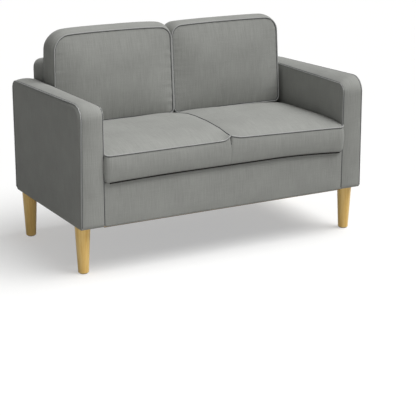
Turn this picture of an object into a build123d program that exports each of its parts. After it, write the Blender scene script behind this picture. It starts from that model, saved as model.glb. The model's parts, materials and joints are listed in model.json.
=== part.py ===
"""Two-seat storage sofa: fixed arms and back, and a seat that lifts on link hinges over a box.

Millimetres. +X is to the right of someone facing the sofa, the front faces -Y, +Z is up, and the
origin is on the floor under the middle of the sofa.
"""
import os

from build123d import *

os.makedirs("parts", exist_ok=True)

# Overall sizes
overall_width = 1220.0
overall_depth = 663.0
body_clearance = 182.0  # floor to the underside of the body
seat_overhang = 15.0  # seat front past the front of the arms
back_overhang = 13.0  # back frame past the rear of the arms

# Arms
arm_width = 92.0
arm_height = 630.0  # outer top edge
arm_top_fall = 14.0  # the top slopes down towards the seat
arm_crown = 4.0  # swell of the padded band between the two edges
arm_front_radius = 60.0  # front corner of the outer edge
arm_inner_radius = 38.0  # front corner of the inner edge
arm_rear_radius = 38.0
arm_foot_radius = 8.0
arm_side_pad = 6.0
arm_edge_pad = 12.0
arm_board_thickness = 9.0
arm_post_thickness = 22.0
arm_bottom_rail_height = 35.0
core_fit = 0.5  # room between a frame and the padding over it

# Storage box
rail_thickness = 18.0
rim_height = 353.0  # covered top of the front rail
front_pad = 4.0
side_rail_drop = 3.0  # side and rear rails end this far under the rim
dust_cover_thickness = 1.0
cleat_height = 17.0
cleat_width = 22.0
joist_width = 40.0
floor_thickness = 6.0
lining_thickness = 1.0
lining_drop = 4.0  # lining ends this far under the side rails
fit_gap = 1.0
bumper_height = 2.0
bumper_radius = 10.0
bumper_spread = 320.0  # middle bumper to each outer one

# Back
back_thickness = 100.0
back_height = 700.0
back_side_gap = 1.0
back_corner_radius = 30.0
back_edge_radius = 10.0
back_pad = 6.0
back_rail_thickness = 25.0
back_lower_rail_height = 80.0
back_lower_rail_drop = 20.0  # bolt axes above the underside of that rail
webbing_thickness = 2.0
webbing_width = 60.0
webbing_count = 6
webbing_pitch = 150.0
webbing_lap = 20.0

# Legs
leg_top_diameter = 58.0
leg_foot_diameter = 40.0
leg_foot_chamfer = 2.0
leg_side_inset = 32.0  # leg axis from the arm's outer side
leg_end_inset = 63.0  # leg axis from the arm's front and rear
glide_height = 3.0
glide_chamfer = 1.0
glide_diameter = 30.0
leg_bolt_diameter = 8.0
leg_bolt_depth = 30.0

# Knock-down bolts, nuts and washers
bolt_diameter = 8.0
bolt_head_diameter = 15.0
bolt_head_height = 4.5
bolt_head_chamfer = 2.5
bolt_tip = 3.0  # thread past the nut
washer_diameter = 20.0
washer_thickness = 1.5
nut_across_flats = 13.0
nut_height = 6.5
bolt_height = 78.0  # bolt axes above the underside of the body
arm_bolt_front = 76.0  # first arm bolt from the arm's front
arm_bolt_step = 110.0  # second arm bolt behind the first
arm_bolt_rear = 44.0  # last arm bolt ahead of the rear rail
back_bolt_spread = 360.0

# Seat lid
lid_rear_gap = 53.0  # room behind the lid for its swing
lid_side_gap = 4.0
lid_lining_inset = 5.0
seat_board_thickness = 15.0
seat_lip_width = 11.5  # cover in front of the board
seat_lip_drop = 0.6  # the cover turns under the board this far
seat_edge_width = 9.0  # cover at the sides and rear of the board
seat_edge_height = 91.0  # front piping above the underside of the lid
seat_side_bulge = 3.0
seam_gap = 0.4
seat_foam_drop = 9.0  # top of the foam blocks below the piping
seat_foam_inset = 10.0
seat_foam_round = 8.0
# Each seat section: its place as a share of the lid's depth from the front, then the rise of the
# arm edge, the crest and the centre valley over the piping
seat_sections = ((0.0, 0.0, 2.0, -3.0), (0.18, 10.0, 27.0, 18.0), (0.49, 13.0, 38.0, 30.0),
                 (0.8, 12.0, 32.0, 27.0), (0.9, 8.0, 27.0, 22.0), (1.0, -4.0, 2.0, -2.0))

# Back cushions
cushion_rise = 26.5  # underside over the seat piping
cushion_height = 365.5  # underside to the crown of the top boxing
cushion_edge_drop = 20.0  # piping below the crown
cushion_edge_inset = 5.0  # piping inside the widest line at the sides
cushion_foot_rise = 4.0
cushion_side_gap = 3.5
cushion_middle_gap = 1.0
cushion_back_gap = 3.0
cushion_boxing = 92.0  # rear seam to front piping at mid height
cushion_lean = 4.0  # degrees the front face leans back
cushion_corner_radius = 50.0
cushion_foot_radius = 26.0
cushion_draw_in = 4.0
cushion_crown = 28.0  # swell of the front panel
crown_sections = (0.8, 0.5, 0.2)  # sizes of the swelling sections against the piped edge
crown_power = 3  # how fast the swell rises from the edge
crown_roundness = 0.75  # corner radius of those sections against their half height
cushion_core_inset = 16.0
cushion_core_round = 20.0

# Lift hinge: pivots measured from the rear lower corner of the lid board, towards the rear and up
lift_pivot = (-92.7, -14.1)
lid_lift_pivot = (-43.8, -17.6)
control_pivot = (-218.5, -96.4)
lid_control_pivot = (-57.1, -44.8)
hinge_steel = 3.0
hinge_play = 0.2  # side play between the flat pieces
rivet_diameter = 8.0
rivet_head_diameter = 13.0
rivet_head_height = 2.0
rivet_clearance = 0.05  # radial, in the turning eyes
open_pivot_clearance = 1.4  # radial, in the control link's lid eye
open_head_diameter = 16.0
eye_radius = 10.0
plate_radius = 11.0
plate_reach = 70.0  # forward corner of the base plate from its lift pivot
bracket_flange_width = 34.0
bracket_flange_front = 76.0  # flange ends, ahead of the lid's rear
bracket_flange_rear = 14.0
screw_diameter = 4.0
screw_head_diameter = 8.0
screw_length = 15.0
plate_screw_front = 24.0  # screws along the base plate from its control pivot
plate_screw_rear = 96.0
bracket_screw_inset = 11.0

# Planes that several pieces share
arm_outer_x = overall_width / 2
arm_inner_x = arm_outer_x - arm_width
arm_middle_x = arm_outer_x - arm_width / 2
arm_middle_radius = (arm_front_radius + arm_inner_radius) / 2
seat_front_y = -overall_depth / 2
back_rear_y = overall_depth / 2
back_front_y = back_rear_y - back_thickness
arm_front_y = seat_front_y + seat_overhang
arm_rear_y = back_rear_y - back_overhang
lid_rear_y = back_front_y - lid_rear_gap
base_z = body_clearance + dust_cover_thickness
rail_front_y = arm_front_y + front_pad
box_front_y = rail_front_y + rail_thickness
box_rear_y = back_front_y - rail_thickness
box_side_x = arm_inner_x - rail_thickness
front_rail_top = rim_height - front_pad
side_rail_top = rim_height - side_rail_drop
floor_top = base_z + cleat_height + floor_thickness
wall_x = box_side_x - lining_thickness
wall_front_y = box_front_y + lining_thickness
wall_rear_y = box_rear_y - lining_thickness
lining_top = side_rail_top - lining_drop
lid_rest_height = rim_height + bumper_height
board_z = lid_rest_height + lining_thickness
board_top = board_z + seat_board_thickness
board_front_y = seat_front_y + seat_lip_width
lid_side_x = arm_inner_x - lid_side_gap
board_side_x = lid_side_x - seat_edge_width
board_rear_y = lid_rear_y - seat_edge_width
seat_piping_height = lid_rest_height + seat_edge_height
bolt_z = body_clearance + bolt_height

# Planes of the right back cushion, and the sizes of its sections on them
cushion_outer_x = arm_inner_x - cushion_side_gap
cushion_inner_x = cushion_middle_gap / 2
cushion_half = (cushion_outer_x - cushion_inner_x) / 2
cushion_x = (cushion_outer_x + cushion_inner_x) / 2
cushion_rear_y = back_front_y - cushion_back_gap
cushion_middle_z = seat_piping_height + cushion_rise + cushion_height / 2
crown_low = -cushion_height / 2
crown_high = cushion_height / 2
edge_low = crown_low + cushion_foot_rise
edge_high = crown_high - cushion_edge_drop
edge_half = cushion_half - cushion_edge_inset
rear_plane = Plane((cushion_x, cushion_rear_y, cushion_middle_z), (1, 0, 0), (0, -1, 0))
front_plane = rear_plane.offset(cushion_boxing).rotated((-cushion_lean, 0, 0))


def save(piece, name):
    """Label one piece and write it under its name."""
    piece.part.label = name
    export_step(piece.part, f"parts/{name}.step")


def save_pair(right, name):
    """Write a right-hand piece, and its mirror image for the left."""
    with BuildPart() as left:
        mirror(right.part, about=Plane.YZ)
    save(right, f"right_{name}")
    save(left, f"left_{name}")


def block(x_span, y_span, z_span, mode=Mode.ADD):
    """Add or cut a box between three pairs of faces in the piece being built."""
    spans = (x_span, y_span, z_span)
    with Locations(tuple((low + high) / 2 for low, high in spans)):
        Box(*(high - low for low, high in spans), mode=mode)


def disc(plane, diameter, start, end, mode=Mode.ADD):
    """Add or cut a cylinder along a plane's normal, between two distances from it."""
    with BuildSketch(plane.offset(start)) as outline:
        Circle(diameter / 2)
    extrude(outline.sketch, amount=end - start, mode=mode)


def arm_section(x, top, front_radius, grow=0):
    """Sketch the arm's side outline at one x; grow swells its front, top and rear."""
    front = arm_front_y - grow
    rear = arm_rear_y + grow
    with BuildSketch(Plane.YZ.offset(x)) as outline:
        with BuildLine():
            FilletPolyline((front, body_clearance), (rear, body_clearance),
                           (rear, top + grow), (front, top + grow),
                           radius=(arm_foot_radius, arm_foot_radius, arm_rear_radius, front_radius),
                           close=True)
        make_face()
    return outline.sketch


def arm_core_section(x, inset):
    """Sketch the outline of the arm's frame at one x, inset from the padding."""
    front = arm_front_y + inset
    rear = arm_rear_y - inset
    top = arm_height - arm_top_fall - inset
    with BuildSketch(Plane.YZ.offset(x)) as outline:
        with BuildLine():
            FilletPolyline((front, body_clearance), (rear, body_clearance), (rear, top), (front, top),
                           radius=(0, 0, arm_rear_radius - inset, arm_front_radius - inset), close=True)
        make_face()
    return outline.sketch


def seat_section(y, edge, crest, valley):
    """Sketch half of the seat cover at one y: arm side, crowned top and centre seam."""
    low = board_z - seat_lip_drop
    side = lid_side_x - seat_side_bulge
    seam = seam_gap / 2
    with BuildSketch(Plane.XZ.offset(-y)) as outline:
        with BuildLine():
            Line((seam, low), (side, low))
            ThreePointArc((side, low), (lid_side_x, (low + edge) / 2), (side, edge))
            ThreePointArc((side, edge), (lid_side_x / 2, crest), (seam, valley))
            Line((seam, valley), (seam, low))
        make_face()
    return outline.sketch


def pillow_section(plane, half_width, low, high, corners=None):
    """Sketch a back cushion's outline: round corners, and sides drawn in between them."""
    foot, top = corners or (cushion_foot_radius, cushion_corner_radius)
    middle = (low + high) / 2
    waist = half_width - cushion_draw_in
    with BuildSketch(plane) as outline:
        with BuildLine():
            Line((-half_width + foot, low), (half_width - foot, low))
            RadiusArc((half_width - foot, low), (half_width, low + foot), -foot)
            ThreePointArc((half_width, low + foot), (waist, middle), (half_width, high - top))
            RadiusArc((half_width, high - top), (half_width - top, high), -top)
            Line((half_width - top, high), (-half_width + top, high))
            RadiusArc((-half_width + top, high), (-half_width, high - top), -top)
            ThreePointArc((-half_width, high - top), (-waist, middle), (-half_width, low + foot))
            RadiusArc((-half_width, low + foot), (-half_width + foot, low), -foot)
        make_face()
    return outline.sketch


def crown_section(size):
    """Sketch one section of the swelling front panel, at a share of the piped edge's size."""
    corner = crown_roundness * size * (edge_high - edge_low) / 2
    middle = (edge_low + edge_high) / 2
    low = middle + size * (edge_low - middle)
    high = middle + size * (edge_high - middle)
    swell = cushion_crown * (1 - size**crown_power)
    return pillow_section(front_plane.offset(swell), size * edge_half, low, high, (corner, corner))


def strap(x, ends, radius, thickness):
    """Add a flat link whose round ends are centred on the given points, from x outwards."""
    with BuildSketch(Plane.YZ.offset(x)) as outline:
        with Locations(*ends):
            Circle(radius)
        make_hull()
    extrude(outline.sketch, amount=thickness)


def pivot_plane(point, x=0.0):
    """Plane across a hinge pivot, with its normal along +X."""
    return Plane(origin=(x, point[0], point[1]), x_dir=(0, 1, 0), z_dir=(1, 0, 0))


def cone_head_bolt(grip):
    """Make a bolt with a coned head and a washer, its grip starting on the XY plane."""
    with BuildPart() as bolt:
        disc(Plane.XY, bolt_head_diameter, -washer_thickness - bolt_head_height, -washer_thickness)
        chamfer(bolt.edges().sort_by(Axis.Z)[0], bolt_head_chamfer)
        disc(Plane.XY, washer_diameter, -washer_thickness, 0)
        disc(Plane.XY, bolt_diameter, 0, grip + nut_height + bolt_tip)
    return bolt.part


def countersunk_screw(plane):
    """Add a countersunk screw, its flat head on the plane and its shank along the normal."""
    head_depth = (screw_head_diameter - screw_diameter) / 2
    with BuildSketch(plane) as head:
        Circle(screw_head_diameter / 2)
    with BuildSketch(plane.offset(head_depth)) as neck:
        Circle(screw_diameter / 2)
    loft((head.sketch, neck.sketch))
    disc(plane, screw_diameter, head_depth, screw_length)


# Bolts that hold the arms and the back to the box, with their washers
arm_bolt_front_y = arm_front_y + arm_bolt_front
arm_bolt_ys = (arm_bolt_front_y, arm_bolt_front_y + arm_bolt_step, box_rear_y - arm_bolt_rear)
arm_bolt_planes = [Plane(origin=(side * wall_x, y, bolt_z), z_dir=(side, 0, 0))
                   for side in (-1, 1) for y in arm_bolt_ys]
back_bolt_planes = [Plane(origin=(x, wall_rear_y, bolt_z), z_dir=(0, 1, 0))
                    for x in (-back_bolt_spread, 0, back_bolt_spread)]
arm_grip = lining_thickness + rail_thickness + arm_side_pad + arm_board_thickness
back_grip = lining_thickness + rail_thickness + back_pad + webbing_thickness + back_rail_thickness
bolt_sets = ((arm_bolt_planes, arm_grip, cone_head_bolt(arm_grip)),
             (back_bolt_planes, back_grip, cone_head_bolt(back_grip)))
with BuildPart() as frame_bolts:
    for planes, grip, bolt in bolt_sets:
        with Locations(*planes):
            add(bolt)
save(frame_bolts, "frame_bolts")

with BuildPart() as frame_nuts:
    for planes, grip, bolt in bolt_sets:
        for plane in planes:
            with BuildSketch(plane.offset(grip)):
                RegularPolygon(nut_across_flats / 2, 6, major_radius=False)
                Circle(bolt_diameter / 2, mode=Mode.SUBTRACT)
            extrude(amount=nut_height)
save(frame_nuts, "frame_nuts")

# Hinge pivots as (y, z)
hinge_a, hinge_b, hinge_c, hinge_d = [
    (lid_rear_y + dy, board_z + dz)
    for dy, dz in (lift_pivot, lid_lift_pivot, control_pivot, lid_control_pivot)]
plate_point = (hinge_a[0] - plate_reach, hinge_a[1])
plate_x = wall_x - hinge_steel
link_outer_x = plate_x - rivet_head_height - 2 * hinge_play
link_x = link_outer_x - hinge_steel
bracket_outer_x = link_x - hinge_play
bracket_x = bracket_outer_x - hinge_steel
control_outer_x = bracket_x - hinge_play
control_x = control_outer_x - hinge_steel
head_x = control_x - hinge_play - rivet_head_height

# Base plate screws, into the side rails
plate_run = Vector(hinge_a[0] - hinge_c[0], hinge_a[1] - hinge_c[1]).normalized()
plate_screws = [(hinge_c[0] + plate_run.X * reach, hinge_c[1] + plate_run.Y * reach)
                for reach in (plate_screw_front, plate_screw_rear)] + [plate_point]
with BuildPart() as hinge_screws:
    for side in (-1, 1):
        for y, z in plate_screws:
            countersunk_screw(Plane(origin=(side * plate_x, y, z), z_dir=(side, 0, 0)))
save(hinge_screws, "hinge_screws")

# Bracket screws, up into the seat board
bracket_front_y = lid_rear_y - bracket_flange_front
bracket_rear_y = lid_rear_y - bracket_flange_rear
bracket_z = lid_rest_height - hinge_steel
bracket_inner_x = bracket_outer_x - bracket_flange_width
bracket_screw_x = bracket_inner_x + bracket_screw_inset
bracket_screw_ys = (bracket_front_y + bracket_screw_inset, bracket_rear_y - bracket_screw_inset)
with BuildPart() as bracket_screws:
    for side in (-1, 1):
        for y in bracket_screw_ys:
            countersunk_screw(Plane(origin=(side * bracket_screw_x, y, bracket_z), z_dir=(0, 0, 1)))
save(bracket_screws, "bracket_screws")

# Storage box: four walls, floor on cleats, black lining and covers
box_x = (-arm_inner_x, arm_inner_x)
with BuildPart() as front_rail:
    block(box_x, (rail_front_y, box_front_y), (base_z, front_rail_top))
save(front_rail, "front_rail")

with BuildPart() as rear_rail:
    block(box_x, (box_rear_y, back_front_y), (base_z, side_rail_top))
    add(frame_bolts.part, mode=Mode.SUBTRACT)
save(rear_rail, "rear_rail")

with BuildPart() as side_rail:
    block((box_side_x, arm_inner_x), (box_front_y, box_rear_y), (base_z, side_rail_top))
    add(frame_bolts.part, mode=Mode.SUBTRACT)
    add(hinge_screws.part, mode=Mode.SUBTRACT)
save_pair(side_rail, "side_rail")

floor_z = floor_top - floor_thickness
cleat_z = (base_z, floor_z)
cleat_front_y = box_front_y + cleat_width
cleat_rear_y = box_rear_y - cleat_width
between_cleats = (cleat_front_y + fit_gap, cleat_rear_y - fit_gap)
with BuildPart() as floor_cleats:
    block((-box_side_x, box_side_x), (box_front_y, cleat_front_y), cleat_z)
    block((-box_side_x, box_side_x), (cleat_rear_y, box_rear_y), cleat_z)
    block((box_side_x - cleat_width, box_side_x), between_cleats, cleat_z)
    block((-box_side_x, cleat_width - box_side_x), between_cleats, cleat_z)
    block((-joist_width / 2, joist_width / 2), between_cleats, cleat_z)
save(floor_cleats, "floor_cleats")

with BuildPart() as storage_floor:
    block((-box_side_x, box_side_x), (box_front_y, box_rear_y), (floor_z, floor_top))
save(storage_floor, "storage_floor")

with BuildPart() as storage_lining:
    block((-box_side_x, box_side_x), (box_front_y, box_rear_y), (floor_top, lining_top))
    inside_z = (floor_top + lining_thickness, lining_top)
    block((-wall_x, wall_x), (wall_front_y, wall_rear_y), inside_z, Mode.SUBTRACT)
    add(frame_bolts.part, mode=Mode.SUBTRACT)
    add(hinge_screws.part, mode=Mode.SUBTRACT)
save(storage_lining, "storage_lining")

with BuildPart() as front_cover:
    with BuildSketch(Plane.YZ.offset(-arm_inner_x)):
        with BuildLine():
            FilletPolyline((arm_front_y, body_clearance), (rail_front_y, body_clearance),
                           (rail_front_y, front_rail_top), (box_front_y, front_rail_top),
                           (box_front_y, rim_height), (arm_front_y, rim_height),
                           radius=(0, 0, 0, 0, 0, front_pad), close=True)
        make_face()
    extrude(amount=2 * arm_inner_x)
save(front_cover, "front_cover")

with BuildPart() as dust_cover:
    block(box_x, (rail_front_y, back_front_y), (body_clearance, base_z))
save(dust_cover, "dust_cover")

with BuildPart() as lid_bumpers:
    bumper_y = (rail_front_y + box_front_y) / 2
    with BuildSketch(Plane.XY.offset(rim_height)):
        with Locations(*((x, bumper_y) for x in (-bumper_spread, 0, bumper_spread))):
            Circle(bumper_radius)
    extrude(amount=bumper_height)
save(lid_bumpers, "lid_bumpers")

# Legs, with the bolts that screw them into the arms
leg_x = arm_outer_x - leg_side_inset
leg_front_y = arm_front_y + leg_end_inset
leg_rear_y = arm_rear_y - leg_end_inset
leg_spots = {"front_left": (-leg_x, leg_front_y), "front_right": (leg_x, leg_front_y),
             "rear_left": (-leg_x, leg_rear_y), "rear_right": (leg_x, leg_rear_y)}
leg_bolt_top = arm_bottom_rail_height + nut_height + bolt_tip
with BuildPart() as leg_bolts:
    for x, y in leg_spots.values():
        disc(Plane((x, y, body_clearance)), leg_bolt_diameter, -leg_bolt_depth, leg_bolt_top)
save(leg_bolts, "leg_bolts")

with BuildPart() as leg_nuts:
    for x, y in leg_spots.values():
        with BuildSketch(Plane((x, y, body_clearance + arm_bottom_rail_height))):
            RegularPolygon(nut_across_flats / 2, 6, major_radius=False)
            Circle(leg_bolt_diameter / 2, mode=Mode.SUBTRACT)
        extrude(amount=nut_height)
save(leg_nuts, "leg_nuts")

with BuildPart() as leg_glides:
    for x, y in leg_spots.values():
        disc(Plane((x, y, 0)), glide_diameter, 0, glide_height)
    chamfer(leg_glides.edges().group_by(Axis.Z)[0], glide_chamfer)
save(leg_glides, "leg_glides")

for spot, (x, y) in leg_spots.items():
    with BuildPart() as leg:
        with BuildSketch(Plane(origin=(x, y, 0), x_dir=(1, 0, 0), z_dir=(0, -1, 0))):
            with BuildLine():
                Polyline((0, glide_height), (leg_foot_diameter / 2 - leg_foot_chamfer, glide_height),
                         (leg_foot_diameter / 2, glide_height + leg_foot_chamfer),
                         (leg_top_diameter / 2, body_clearance), (0, body_clearance), close=True)
            make_face()
        revolve(axis=Axis((x, y, 0), (0, 0, 1)))
        add(leg_bolts.part, mode=Mode.SUBTRACT)
    save(leg, f"{spot}_leg")

# Arms: two profile boards, posts and rails between them, and a padded cover open underneath
board_inset = arm_edge_pad + core_fit
arm_frame_inner_x = arm_inner_x + arm_side_pad
arm_frame_outer_x = arm_outer_x - arm_side_pad
arm_gap_x = (arm_frame_inner_x + arm_board_thickness, arm_frame_outer_x - arm_board_thickness)
arm_frame_front_y = arm_front_y + board_inset
arm_frame_rear_y = arm_rear_y - board_inset
arm_frame_top = arm_height - arm_top_fall - board_inset
arm_rail_top = body_clearance + arm_bottom_rail_height
post_top = arm_frame_top - arm_front_radius + board_inset

with BuildPart() as arm_cover:
    loft((arm_section(arm_inner_x, arm_height - arm_top_fall, arm_inner_radius),
          arm_section(arm_middle_x, arm_height - arm_top_fall / 2, arm_middle_radius, arm_crown),
          arm_section(arm_outer_x, arm_height, arm_front_radius)))
    extrude(arm_core_section(arm_frame_inner_x, arm_edge_pad), amount=arm_frame_outer_x - arm_frame_inner_x,
            mode=Mode.SUBTRACT)
    add(frame_bolts.part, mode=Mode.SUBTRACT)
save_pair(arm_cover, "arm_cover")

with BuildPart() as arm_inner_board:
    extrude(arm_core_section(arm_frame_inner_x, board_inset), amount=arm_board_thickness)
    add(frame_bolts.part, mode=Mode.SUBTRACT)
save_pair(arm_inner_board, "arm_inner_board")

with BuildPart() as arm_outer_board:
    outer_board = arm_core_section(arm_frame_outer_x - arm_board_thickness, board_inset)
    extrude(outer_board, amount=arm_board_thickness)
save_pair(arm_outer_board, "arm_outer_board")

with BuildPart() as arm_bottom_rail:
    block(arm_gap_x, (arm_frame_front_y, arm_frame_rear_y), (body_clearance, arm_rail_top))
    add(leg_bolts.part, mode=Mode.SUBTRACT)
save_pair(arm_bottom_rail, "arm_bottom_rail")

with BuildPart() as arm_posts:
    block(arm_gap_x, (arm_frame_front_y, arm_frame_front_y + arm_post_thickness), (arm_rail_top, post_top))
    block(arm_gap_x, (arm_frame_rear_y - arm_post_thickness, arm_frame_rear_y), (arm_rail_top, post_top))
save_pair(arm_posts, "arm_posts")

top_rail_y = (arm_front_y + arm_front_radius, arm_rear_y - arm_rear_radius)
with BuildPart() as arm_top_rail:
    block(arm_gap_x, top_rail_y, (arm_frame_top - arm_post_thickness, arm_frame_top))
save_pair(arm_top_rail, "arm_top_rail")

# Back: a frame of boards on edge, elastic webbing and a padded cover open underneath
back_half = arm_inner_x - back_side_gap
back_frame_half = back_half - back_pad
back_frame_front_y = back_front_y + back_pad + webbing_thickness
back_frame_y = (back_frame_front_y, back_rear_y - back_pad)
back_frame_top = back_height - back_pad
back_post_top = back_frame_top - back_rail_thickness
lower_rail_y = (back_frame_front_y, back_frame_front_y + back_rail_thickness)
with BuildPart() as back_cover:
    with BuildSketch(Plane.XZ.offset(-back_rear_y)):
        with BuildLine():
            FilletPolyline((-back_half, base_z), (back_half, base_z),
                           (back_half, back_height), (-back_half, back_height),
                           radius=(0, 0, back_corner_radius, back_corner_radius), close=True)
        make_face()
    extrude(amount=back_thickness)
    fillet(back_cover.edges().filter_by(Plane.XZ).group_by(Axis.Z)[1:], back_edge_radius)
    inner_radius = back_corner_radius - back_pad
    with BuildSketch(Plane.XZ.offset(-back_rear_y + back_pad)):
        with BuildLine():
            FilletPolyline((-back_frame_half, base_z), (back_frame_half, base_z),
                           (back_frame_half, back_frame_top), (-back_frame_half, back_frame_top),
                           radius=(0, 0, inner_radius, inner_radius), close=True)
        make_face()
    extrude(amount=back_thickness - 2 * back_pad, mode=Mode.SUBTRACT)
    add(frame_bolts.part, mode=Mode.SUBTRACT)
save(back_cover, "back_cover")

post_inner_x = back_frame_half - back_rail_thickness
with BuildPart() as back_posts:
    for side in (-1, 1):
        post_x = sorted((side * post_inner_x, side * (back_frame_half - core_fit)))
        block(post_x, back_frame_y, (base_z, back_post_top))
save(back_posts, "back_posts")

with BuildPart() as back_top_rail:
    rail_half = back_frame_half - core_fit
    block((-rail_half, rail_half), back_frame_y, (back_post_top, back_frame_top - core_fit))
    upper_corners = back_top_rail.edges().filter_by(Axis.Y).group_by(Axis.Z)[-1]
    fillet(upper_corners, back_corner_radius - back_pad - core_fit)
save(back_top_rail, "back_top_rail")

with BuildPart() as back_bottom_rail:
    block((-post_inner_x, post_inner_x), back_frame_y, (base_z, base_z + back_rail_thickness))
save(back_bottom_rail, "back_bottom_rail")

lower_rail_z = bolt_z - back_lower_rail_drop
lower_rail_top = lower_rail_z + back_lower_rail_height
with BuildPart() as back_lower_rail:
    block((-post_inner_x, post_inner_x), lower_rail_y, (lower_rail_z, lower_rail_top))
    add(frame_bolts.part, mode=Mode.SUBTRACT)
save(back_lower_rail, "back_lower_rail")

with BuildPart() as back_webbing:
    strap_z = (lower_rail_top - webbing_lap, back_post_top + webbing_lap)
    strap_y = (back_front_y + back_pad, back_frame_front_y)
    for number in range(webbing_count):
        x = (number - (webbing_count - 1) / 2) * webbing_pitch
        block((x - webbing_width / 2, x + webbing_width / 2), strap_y, strap_z)
save(back_webbing, "back_webbing")

# Seat lid: board, black lining, two foam blocks and the crowned padded covers over them
with BuildPart() as seat_board:
    block((-board_side_x, board_side_x), (board_front_y, board_rear_y), (board_z, board_top))
    add(bracket_screws.part, mode=Mode.SUBTRACT)
save(seat_board, "seat_board")

with BuildPart() as lid_lining:
    block((lid_lining_inset - board_side_x, board_side_x - lid_lining_inset),
          (board_front_y + lid_lining_inset, board_rear_y - lid_lining_inset), (lid_rest_height, board_z))
    add(bracket_screws.part, mode=Mode.SUBTRACT)
save(lid_lining, "lid_lining")

with BuildPart() as seat_foam:
    block((seat_foam_inset, board_side_x - seat_foam_inset),
          (board_front_y + seat_foam_inset, board_rear_y - seat_foam_inset),
          (board_top, seat_piping_height - seat_foam_drop))
    fillet(seat_foam.edges().group_by(Axis.Z)[-1], seat_foam_round)
save_pair(seat_foam, "seat_foam")

with BuildPart() as seat_cover:
    lid_depth = lid_rear_y - seat_front_y
    loft([seat_section(seat_front_y + share * lid_depth, *(seat_piping_height + rise for rise in rises))
          for share, *rises in seat_sections])
    under_lid = (0, board_z)
    block((-fit_gap, arm_inner_x), (board_front_y, back_front_y), under_lid, Mode.SUBTRACT)
    block((-fit_gap, board_side_x), (board_front_y, board_rear_y), (board_z, board_top), Mode.SUBTRACT)
    add(seat_foam.part, mode=Mode.SUBTRACT)
save_pair(seat_cover, "seat_cover")

# Lift hinge: base plate, lift link, control link and lid bracket at each end of the box
with BuildPart() as hinge_base_plate:
    strap(plate_x, (hinge_a, hinge_c, plate_point), plate_radius, hinge_steel)
    disc(pivot_plane(hinge_a), rivet_diameter, plate_x, wall_x, Mode.SUBTRACT)
    disc(pivot_plane(hinge_c), rivet_diameter, plate_x, wall_x, Mode.SUBTRACT)
    add(hinge_screws.part, mode=Mode.SUBTRACT)
save_pair(hinge_base_plate, "hinge_base_plate")

eye_diameter = rivet_diameter + 2 * rivet_clearance
with BuildPart() as lift_link:
    strap(link_x, (hinge_a, hinge_b), eye_radius, hinge_steel)
    for point in (hinge_a, hinge_b):
        disc(pivot_plane(point), eye_diameter, link_x, link_outer_x, Mode.SUBTRACT)
save_pair(lift_link, "lift_link")

with BuildPart() as control_link:
    strap(control_x, (hinge_c, hinge_d), eye_radius, hinge_steel)
    disc(pivot_plane(hinge_c), eye_diameter, control_x, control_outer_x, Mode.SUBTRACT)
    open_eye_diameter = rivet_diameter + 2 * open_pivot_clearance
    disc(pivot_plane(hinge_d), open_eye_diameter, control_x, control_outer_x, Mode.SUBTRACT)
save_pair(control_link, "control_link")

with BuildPart() as lid_bracket:
    with BuildSketch(Plane.YZ.offset(bracket_x)):
        with Locations(hinge_b, hinge_d):
            Circle(eye_radius)
        with Locations(((bracket_front_y + bracket_rear_y) / 2, bracket_z + hinge_steel / 2)):
            Rectangle(bracket_rear_y - bracket_front_y, hinge_steel)
        make_hull()
    extrude(amount=hinge_steel)
    flange_y = (bracket_front_y, bracket_rear_y)
    block((bracket_inner_x, bracket_outer_x), flange_y, (bracket_z, lid_rest_height))
    for point in (hinge_b, hinge_d):
        disc(pivot_plane(point), rivet_diameter, bracket_x, bracket_outer_x, Mode.SUBTRACT)
    add(bracket_screws.part, mode=Mode.SUBTRACT)
save_pair(lid_bracket, "lid_bracket")

with BuildPart() as base_rivet:
    for point, inner_x, outer_x in ((hinge_a, link_x, link_outer_x), (hinge_c, control_x, control_outer_x)):
        plane = pivot_plane(point)
        head_face_x = inner_x - hinge_play
        disc(plane, rivet_diameter, head_face_x, wall_x)
        disc(plane, rivet_head_diameter, outer_x + hinge_play, plate_x)
        disc(plane, rivet_head_diameter, head_face_x - rivet_head_height, head_face_x)
with BuildPart() as base_rivets:
    add(base_rivet.part)
    mirror(base_rivet.part, about=Plane.YZ)
save(base_rivets, "base_rivets")

with BuildPart() as lid_rivet:
    disc(pivot_plane(hinge_b), rivet_diameter, bracket_x, link_outer_x + hinge_play)
    disc(pivot_plane(hinge_b), rivet_head_diameter, link_outer_x + hinge_play,
         link_outer_x + hinge_play + rivet_head_height)
    disc(pivot_plane(hinge_d), rivet_diameter, control_x - hinge_play, bracket_outer_x)
    disc(pivot_plane(hinge_d), open_head_diameter, head_x, control_x - hinge_play)
with BuildPart() as lid_rivets:
    add(lid_rivet.part)
    mirror(lid_rivet.part, about=Plane.YZ)
save(lid_rivets, "lid_rivets")

# Back cushions: a foam core in a boxed cover with a swelling front panel
with BuildPart() as cushion_core:
    with Locations(rear_plane.offset(cushion_boxing / 2)):
        Box(2 * (edge_half - cushion_core_inset), edge_high - edge_low - 2 * cushion_core_inset,
            cushion_boxing - 2 * cushion_core_inset)
    fillet(cushion_core.edges(), cushion_core_round)
save_pair(cushion_core, "cushion_core")

with BuildPart() as cushion_cover:
    edge = (edge_half, edge_low, edge_high)
    loft((pillow_section(rear_plane, *edge),
          pillow_section(rear_plane.offset(cushion_boxing / 2), cushion_half, crown_low, crown_high),
          pillow_section(front_plane, *edge)))
    loft([pillow_section(front_plane, *edge)] + [crown_section(size) for size in crown_sections])
    add(cushion_core.part, mode=Mode.SUBTRACT)
save_pair(cushion_cover, "cushion_cover")
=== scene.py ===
"""Looks of the two-seat storage sofa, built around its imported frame.

Sizes in the classes are millimetres, and MM turns them into the metres of the frame: +X to the
right of someone facing the sofa, the front towards -Y, +Z up, the origin on the floor.
"""
import json
import logging
import math
from dataclasses import dataclass
from enum import Enum
from typing import Any, Sequence

import bpy
import numpy as np
from mathutils import Matrix, Quaternion, Vector
from mathutils.bvhtree import BVHTree

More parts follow.
